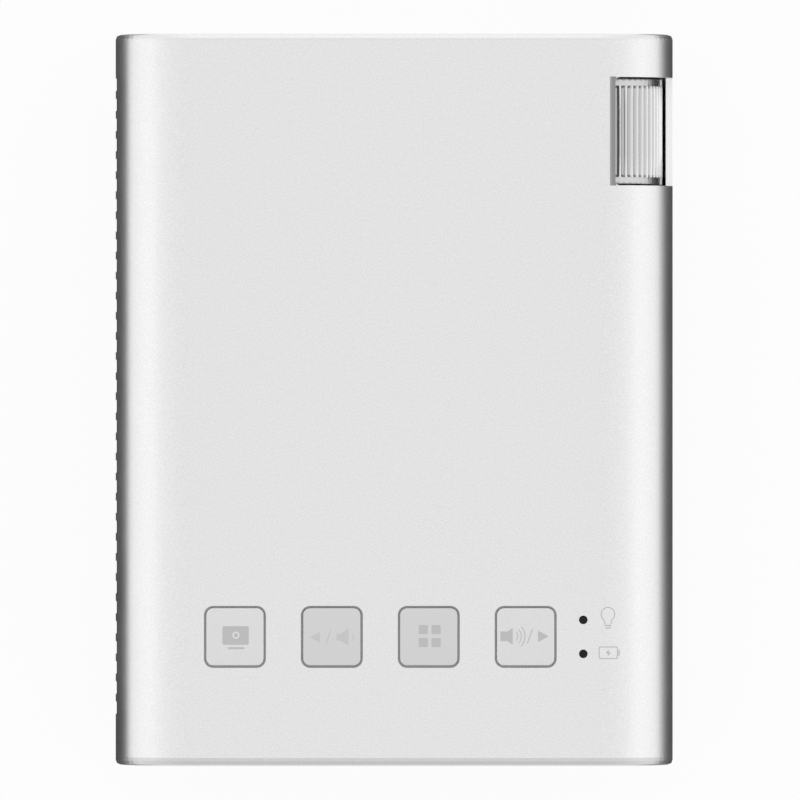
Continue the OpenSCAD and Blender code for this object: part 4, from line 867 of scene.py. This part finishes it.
def sockets():
    """HDMI and USB sockets: a drawn shell with its springs, a tongue and the contacts on it."""
    low, high = mm_box("hdmi_socket")
    x, _, _, half = middle(low, high)
    z, tall = low.z, high.z - low.z
    loop = rounded([(x - half, z + tall), (x - half, z + 2.3), (x - half + 1.7, z), (x + half - 1.7, z),
                    (x + half, z + 2.3), (x + half, z + tall)], [0.6, 0.8, 0.8, 0.8, 0.8, 0.6])
    deep = high.y - 2.5
    bm = bmesh.new()
    drawn_shell(bm, loop, 0.4, low.y, high.y, deep)
    for side in (-1, 1):
        top = high.z - 0.56
        leaf(bm, [(low.y + 0.7, top), (low.y + 2.4, top - 0.45), (low.y + 3.2, top - 0.45), (low.y + 6, top)],
             ("x", x + side * 3.6), 1.1)
        leaf(bm, [(low.y + 0.7, z + 0.42), (low.y + 2.4, z + 0.85), (low.y + 6, z + 0.42)],
             ("x", x + side * 3.0), 0.9)
    finish_mesh("hdmi_shell", bm, "bright_steel", "case", ("hdmi_socket",), 35)
    bm = bmesh.new()
    stack(bm, [laid(loop, deep + 0.2, -0.45), laid(loop, deep - 0.5, -0.45)])
    block(bm, (x - 5.4, low.y + 1.0, z + 2.6), (x + 5.4, deep, z + 3.4), 0.14)
    finish_mesh("hdmi_tongue", bm, "black_plastic")
    bm = bmesh.new()
    for count, first, height in ((10, -4.7, 3.36), (9, -4.2, 2.55)):
        for i in range(count):
            at = x + first + i
            block(bm, (at, low.y + 1.25, z + height), (at + 0.4, deep - 1, z + height + 0.09), 0.03, 1)
    finish_mesh("hdmi_contacts", bm, "brass")

    low, high = mm_box("usb_socket")
    x, _, _, half = middle(low, high)
    z, tall = low.z, high.z - low.z
    loop = [(x + u, z + tall / 2 + v) for u, v in round_rect(2 * half, tall, 0.5, 4)]
    deep = high.y - 2.5
    bm = bmesh.new()
    drawn_shell(bm, loop, 0.4, low.y, high.y, deep)
    for side in (-1, 1):
        leaf(bm, [(low.y + 0.6, z + 0.42), (low.y + 2.6, z + 1.0), (low.y + 3.6, z + 1.0), (low.y + 7, z + 0.42)],
             ("x", x + side * 3.1), 1.2)
        wall = x + side * (half - 0.48) - (0.14 if side > 0 else 0)
        leaf(bm, [(low.y + 0.6, wall), (low.y + 2.4, wall - side * 0.4), (low.y + 5.5, wall)],
             ("z", z + tall / 2 - 0.4), 0.8)
    finish_mesh("usb_shell", bm, "bright_steel", "case", ("usb_socket",), 35)
    bm = bmesh.new()
    stack(bm, [laid(loop, deep + 0.2, -0.45), laid(loop, deep - 0.4, -0.45)])
    block(bm, (x - 5.5, low.y + 1.0, z + 3.3), (x + 5.5, deep, z + 5.1), 0.18)
    finish_mesh("usb_tongue", bm, "black_plastic")
    bm = bmesh.new()
    for at, back in ((-3.5, 0.0), (-1.15, 0.9), (1.15, 0.9), (3.5, 0.0)):
        block(bm, (x + at - 0.5, low.y + 1.3 + back, z + 3.24), (x + at + 0.5, deep - 1, z + 3.34), 0.04, 1)
    finish_mesh("usb_contacts", bm, "brass")


def bore_block(name, node, bore, deep, nose_r):
    """Socket block with a round bore and a nose that fills the panel's hole."""
    low, high = mm_box(node)
    x, _, z, _ = middle(low, high)
    nose_y = low.y + 1.75
    bm = bmesh.new()
    block(bm, (low.x, nose_y, low.z), tuple(high), 0.3)
    body = finish_mesh(name, bm, "black_plastic", "case", (node,), 35)
    bm = bmesh.new()
    turned(bm, [(nose_y - 1, bore), (low.y + deep, bore)], (x, 0, z), "y", 48)
    cut(body, finish_mesh("bore", bm, "black_plastic"))
    bm = bmesh.new()
    turned(bm, [
        (nose_y + 0.1, bore), (low.y + 0.5, bore), (low.y + 0.12, bore + 0.22), (low.y, bore + 0.4),
        (low.y, nose_r - 0.2), (low.y + 0.2, nose_r), (nose_y + 0.1, nose_r),
    ], (x, 0, z), "y", 64, closed=True)
    finish_mesh(name.replace("body", "nose"), bm, "black_plastic")
    return x, z, low.y, high.y


def round_sockets():
    """DC socket with its centre pin and spring, and audio socket with its sleeve and spring."""
    x, z, y0, y1 = bore_block("dc_body", "dc_socket", 2.8, 9.0, 3.25)
    bm = bmesh.new()
    turned(bm, [(y1 - 1.6, 0.85), (y0 + 1.55, 0.85), (y0 + 1.3, 0.74), (y0 + 1.2, 0.5), (y0 + 1.2, 0.001)],
           (x, 0, z), "y", 32)
    leaf(bm, [(y0 + 1.9, z - 2.78), (y0 + 3.4, z - 2.2), (y0 + 4.4, z - 2.2), (y0 + 7.5, z - 2.78)], ("x", x), 0.8)
    finish_mesh("dc_pin", bm, "bright_steel")
    x, z, y0, _ = bore_block("audio_body", "audio_socket", 1.8, 10.0, 2.75)
    bm = bmesh.new()
    turned(bm, [(y0 + 0.45, 1.79), (y0 + 0.45, 1.62), (y0 + 2.6, 1.62), (y0 + 2.6, 1.79)],
           (x, 0, z), "y", 48, closed=True)
    leaf(bm, [(y0 + 4.0, z + 1.6), (y0 + 5.5, z + 1.05), (y0 + 6.2, z + 1.05), (y0 + 8, z + 1.6)], ("x", x), 0.5)
    finish_mesh("audio_contacts", bm, "bright_steel")


def ridged_slider():
    """Slider with ridges on its tip, a plate behind the panel and a peg into the switch."""
    low, high = mm_box("power_slider")
    x, _, z, _ = middle(low, high)
    tip, plate = low.y, low.y + 2.5
    ridges, ridge_pitch = 5, 0.48
    face = []
    for k in range(ridges):
        at = x + ridge_pitch * (k - (ridges - 1) / 2)
        face += [(at - 0.17, tip + 0.4), (at - 0.07, tip), (at + 0.07, tip), (at + 0.17, tip + 0.4)]
    loop = [(x - 1.3, plate + 0.2), (x - 1.3, tip + 0.35), (x - 1.22, tip + 0.2)] + face
    loop += [(x + 1.22, tip + 0.2), (x + 1.3, tip + 0.35), (x + 1.3, plate + 0.2)]
    bm = bmesh.new()
    stack(bm, [[(x + (u - x) * f, v + (0 if f == 1 else 0.12), h) for u, v in loop]
               for h, f in ((z - 1.0, 0.94), (z - 0.88, 1), (z + 0.88, 1), (z + 1.0, 0.94))])
    block(bm, (low.x, plate, low.z), (high.x, plate + 0.9, high.z), 0.15)
    block(bm, (x - 0.8, plate + 0.8, z - 0.6), (x + 0.8, high.y, z + 0.6), 0.1)
    finish_mesh("ridged_slider", bm, "black_plastic", "slider", ("power_slider",), 35)


sockets()
round_sockets()
ridged_slider()


# ---------------------------------------------------------------- fold-out foot and speaker

def grip_foot():
    """Fold-out foot: an eased plate with grip grooves, and the knuckle round its hinge pin."""
    low, high = mm_box("tilt_foot")
    knuckle = (high.z - low.z) / 2
    hinge_y, hinge_z = high.y - knuckle, low.z + knuckle
    loop = rounded([(low.x, hinge_y - 0.7), (low.x, low.y), (high.x, low.y), (high.x, hinge_y - 0.7)],
                   [0.3, 2.2, 2.2, 0.3], 8)
    cx, cy = (low.x + high.x) / 2, (low.y + hinge_y) / 2
    rings = []
    for h, inset in ((0.05, 0.3), (0.14, 0.1), (0.34, 0.0), (1.6, 0.0), (1.78, 0.08), (1.85, 0.25)):
        fx, fy = 1 - 2 * inset / (high.x - low.x), 1 - 2 * inset / (hinge_y - low.y)
        rings.append([(cx + (u - cx) * fx, cy + (v - cy) * fy, low.z + h) for u, v in loop])
    bm = bmesh.new()
    stack(bm, rings)
    foot = finish_mesh("grip_foot", bm, "dark_plastic", "prop", ("tilt_foot",), 35)
    bm = bmesh.new()
    for k in range(5):
        turned(bm, [(low.x + 3, 0.2), (low.x + 3.3, 0.42), (high.x - 3.3, 0.42), (high.x - 3, 0.2)],
               (0, low.y + 1.6 + 1.35 * k, low.z + 0.05), "x", 24)
    cut(foot, finish_mesh("grooves", bm, "dark_plastic", "prop"))
    bm = bmesh.new()
    turned(bm, [(low.x, 0.6), (low.x, knuckle - 0.12), (low.x + 0.12, knuckle), (high.x - 0.12, knuckle),
                (high.x, knuckle - 0.12), (high.x, 0.6)], (0, hinge_y, hinge_z), "x", 48, closed=True)
    finish_mesh("foot_knuckle", bm, "dark_plastic", "prop")


def speaker_driver():
    """Speaker frame with a rubber roll and a dished cone, and the magnet's cup behind it."""
    low, high = mm_box("speaker")
    cx, _, cz, _ = middle(low, high)
    w, h, face, back = high.x - low.x, high.z - low.z, high.y, high.y - 5
    # each row is a rounded rectangle, as (width, height, corner radius, place along y)
    rows = [(w - 0.4, h - 0.4, 0.8, back), (w, h, 1.0, back + 0.2), (w, h, 1.0, face - 0.25)]
    rows += [(w - 0.3, h - 0.3, 0.9, face), (w - 2.2, h - 2.2, 5.8, face), (w - 2.5, h - 2.5, 5.7, face - 0.45)]
    frame_rows, roll_rows = len(rows) - 1, 7
    for k in range(roll_rows):
        t = k / (roll_rows - 1)
        rows.append((w - 2.9 - 3.2 * t, h - 2.9 - 3.2 * t, 5.5 - 1.6 * t, face - 0.6 + 0.5 * math.sin(math.pi * t)))
    rows += [(w - 6.6, h - 6.6, 3.6, face - 0.75), (w - 12, h - 8.6, 2.6, face - 2.0)]
    rows += [(w - 18, h - 10.2, 1.8, face - 2.9), (w - 18.6, h - 10.5, 1.7, face - 2.8)]
    rows += [(w - 21, h - 11.4, 1.25, face - 2.2), (w - 25, h - 12.6, 0.65, face - 1.9)]
    bm = bmesh.new()
    stack(bm, [[(cx + u, y, cz + v) for u, v in round_rect(a, b, r)] for a, b, r, y in rows])
    turned(bm, [(low.y, 5.2), (low.y + 0.2, 5.8), (low.y + 0.4, 6.0), (low.y + 2.4, 6.0), (low.y + 2.5, 5.4),
                (back + 0.1, 5.4)], (cx, 0, cz), "y", 48)
    piece = finish_mesh("speaker_driver", bm, "black_plastic", "case", ("speaker",), 35)
    piece.data.materials.append(M["foot_rubber"])
    piece.data.materials.append(M["speaker_cone"])
    per_row = len(round_rect(1, 1, 0))
    for face in piece.data.polygons[:per_row * (len(rows) - 1)]:
        row = face.index // per_row
        face.material_index = 0 if row < frame_rows else 1 if row < frame_rows + roll_rows else 2


grip_foot()
speaker_driver()


# ---------------------------------------------------------------- battery and inner screws

bm = bmesh.new()
for low, high in islands("battery_cells"):
    block(bm, tuple(low), tuple(high), 1.4, 5)
finish_mesh("pouch_cells", bm, "cell_wrap", "case", ("battery_cells",), 30)


def inner_screws(name, node):
    """Cross-recessed screws in the places of a node's plain ones; each head is at its wider end."""
    shank_r, pitch = 0.75, 0.5
    bm = bmesh.new()
    mesh = nodes[node].data
    for low, high in islands(node):
        x, y, z, r = middle(low, high)
        wide = [v.co.z / MM for v in mesh.vertices
                if r - 0.05 < math.hypot(v.co.x / MM - x, v.co.y / MM - y) < r + 0.1]
        up = (min(wide) + max(wide)) / 2 > z
        z_face, way = (high.z, -1) if up else (low.z, 1)
        screw(bm, x, y, z_face, way, r, max(wide) - min(wide), shank_r, high.z - low.z, pitch)
    finish_mesh(name, bm, "screw_steel", "case", (node,), 35)


inner_screws("cross_board_screws", "board_screws")
inner_screws("cross_engine_screws", "engine_screws")


# ---------------------------------------------------------------- small parts on the main board

def board_parts():
    """Small parts with bright ends, scattered on a grid over the free places of the main board."""
    taken = [box for node in ("main_chips", "board_connectors", "board_screws") for box in islands(node)]
    taken += [mm_box(node) for node in ("hdmi_socket", "usb_socket", "dc_socket", "audio_socket", "power_switch",
                                        "battery_lead", "key_ribbon", "engine_ribbon")]
    posts = [middle(*box) for node in ("board_screws", "cover_screws") for box in islands(node)]
    most, most_tries, gap, post_r, grid = 110, 4000, 0.4, 3.6, 0.5
    low, high = mm_box("main_board")
    dice = random.Random(7)
    dark, pale = bmesh.new(), bmesh.new()
    placed = []
    tries = 0
    while len(placed) < most and tries < most_tries:
        tries += 1
        w, d, h = dice.choice([(1.0, 0.5, 0.4), (1.6, 0.8, 0.5), (2.0, 1.2, 0.7), (0.6, 0.3, 0.3)])
        if dice.random() < 0.5:
            w, d = d, w
        x, y = dice.uniform(low.x + 1.5, high.x - 1.5), dice.uniform(low.y + 1.5, high.y - 1.5)
        x, y = round(x / grid) * grid, round(y / grid) * grid
        x0, y0, x1, y1 = x - w / 2, y - d / 2, x + w / 2, y + d / 2
        room = [(a.x, a.y, b.x, b.y) for a, b in taken] + placed
        if any(x1 + gap > a and x0 - gap < c and y1 + gap > b and y0 - gap < e for a, b, c, e in room):
            continue
        if any(math.hypot(x - post[0], y - post[1]) < post_r for post in posts):
            continue
        placed.append((x0, y0, x1, y1))
        cap = 0.22 * max(w, d)
        block(dark, (x0, y0, high.z), (x1, y1, high.z + h), 0.04, 1)
        for end in (-1, 1):
            if w > d:
                at, on, half, side = x + end * (w / 2 - cap / 2), y, cap / 2 + 0.02, d / 2 + 0.02
            else:
                at, on, half, side = x, y + end * (d / 2 - cap / 2), w / 2 + 0.02, cap / 2 + 0.02
            block(pale, (at - half, on - side, high.z), (at + half, on + side, high.z + h + 0.02), 0.04, 1)
    finish_mesh("board_parts", dark, "chip_black")
    finish_mesh("board_part_ends", pale, "switch_metal")


board_parts()


# ---------------------------------------------------------------- camera, floor and light

def stage_sheet(name, low, high, z, mat):
    """Flat stage piece between two corners, in metres, that looks up."""
    mesh = bpy.data.meshes.new(name)
    mesh.from_pydata([(low[0], low[1], z), (high[0], low[1], z), (high[0], high[1], z), (low[0], high[1], z)],
                     [], [(0, 1, 2, 3)])
    mesh.materials.append(mat)
    sheet = bpy.data.objects.new(name, mesh)
    bpy.context.collection.objects.link(sheet)
    return sheet


# straight above, at the distance that gives the photo's perspective
camera = bpy.data.objects.new("camera", bpy.data.cameras.new("camera"))
bpy.context.collection.objects.link(camera)
camera.location = (0.00088, -0.00004, 2.629)
camera.data.sensor_width = 36
camera.data.lens = 779.3
camera.data.clip_end = 20
bpy.context.scene.camera = camera


def floor_white():
    """Studio floor: mostly its own glow where it is seen, and a white sheet that takes the object's shadow."""
    glow_share, metal_lift = 0.9, 0.07
    m = Maker("floor")
    m.set(colour=linear(250), rough=0.9, specular=0.1)
    glow = m.add("Emission")
    path = m.add("LightPath")
    seen = m.math("MAXIMUM", path.outputs["Is Camera Ray"], path.outputs["Is Glossy Ray"])
    seen = m.math("MAXIMUM", seen, path.outputs["Is Transmission Ray"])
    blend = m.add("MixShader")
    m.join(m.math("MULTIPLY", seen, glow_share), blend.inputs[0])
    # the metal sees the floor a little brighter than the camera does
    m.join(m.math("MULTIPLY_ADD", path.outputs["Is Glossy Ray"], metal_lift, 1.0), glow.inputs["Strength"])
    m.join(m.bsdf.outputs[0], blend.inputs[1])
    m.join(glow.outputs[0], blend.inputs[2])
    m.join(blend.outputs[0], m.out.inputs["Surface"])
    return m.mat


stage_sheet("floor", (-3, -3), (3, 3), -1e-5, floor_white())


def dark_card(name, fade):
    """A studio card: dark near the part, and as bright as the floor beyond the fade, given in millimetres."""
    m = Maker(name)
    m.set(colour=linear(34), rough=0.9, specular=0.0)
    m.bsdf.inputs["Emission Color"].default_value = (1, 1, 1, 1)
    m.join(m.spread(m.axes()[0], 0.0, 1.0, fade), m.bsdf.inputs["Emission Strength"])
    return m.mat


# dark studio cards low beside the part: the metal sees them, and they draw its dark edges
for where, near, far, fade in (("left", -0.0425, -0.093, (200, 300)), ("right", 0.0425, 0.112, (68, 112))):
    card = stage_sheet("card_" + where, (near, -0.08), (far, 0.08), 0.0002, dark_card("dark_card_" + where, fade))
    for ray in ("camera", "diffuse", "shadow", "transmission"):
        setattr(card, "visible_" + ray, False)


class Sky(Nodes):
    """The studio light, as a grey for each direction of a ray."""

    def __init__(self):
        world = bpy.data.worlds.new("studio")
        bpy.context.scene.world = world
        super().__init__(world)
        self.back = self.add("Background")
        self.join(self.back.outputs[0], self.add("OutputWorld").inputs["Surface"])
        split = self.add("SeparateXYZ")
        self.join(self.add("TexCoord").outputs["Generated"], split.inputs[0])
        self.x, self.y, self.z = split.outputs

    def curve(self, stops):
        """Grey against the height of the ray: 0 at the horizon, 1 straight up."""
        node = self.add("ValToRGB")
        ramp = node.color_ramp
        ramp.interpolation = "EASE"
        while len(ramp.elements) < len(stops):
            ramp.elements.new(0.5)
        for element, (at, value) in zip(ramp.elements, stops):
            element.position = at
            element.color = (value, value, value, 1)
        self.join(self.z, node.inputs[0])
        return node.outputs[0]


# one curve for rays to the left or right, and one each for the middle, the front and the rear
sky = Sky()
sides = sky.curve([(0.0, 1.02), (0.16, 1.12), (0.45, 1.12), (0.62, 0.97), (0.8, 0.925), (0.96, 0.88)])
plain = sky.curve([(0.0, 0.78), (0.4, 0.86), (1.0, 0.88)])
front = sky.curve([(0.0, 0.84), (0.3, 0.93), (0.55, 1.2), (0.8, 1.06), (1.0, 0.88)])
rear = sky.curve([(0.0, 0.62), (0.3, 0.66), (0.7, 0.76), (0.9, 0.86), (1.0, 0.88)])
xx, yy = sky.math("MULTIPLY", sky.x, sky.x), sky.math("MULTIPLY", sky.y, sky.y)
across = sky.math("DIVIDE", xx, sky.math("ADD", sky.math("ADD", xx, yy), 0.0001))
ahead = sky.math("MULTIPLY_ADD", sky.y, 2.5, 0.5)
ahead.node.use_clamp = True
ends = sky.mix(across, sky.mix(ahead, rear, front), plain)
sky.join(sky.mix(across, ends, sky.mix(across, plain, sides)), sky.back.inputs["Color"])

bpy.context.scene.view_settings.view_transform = "Standard"
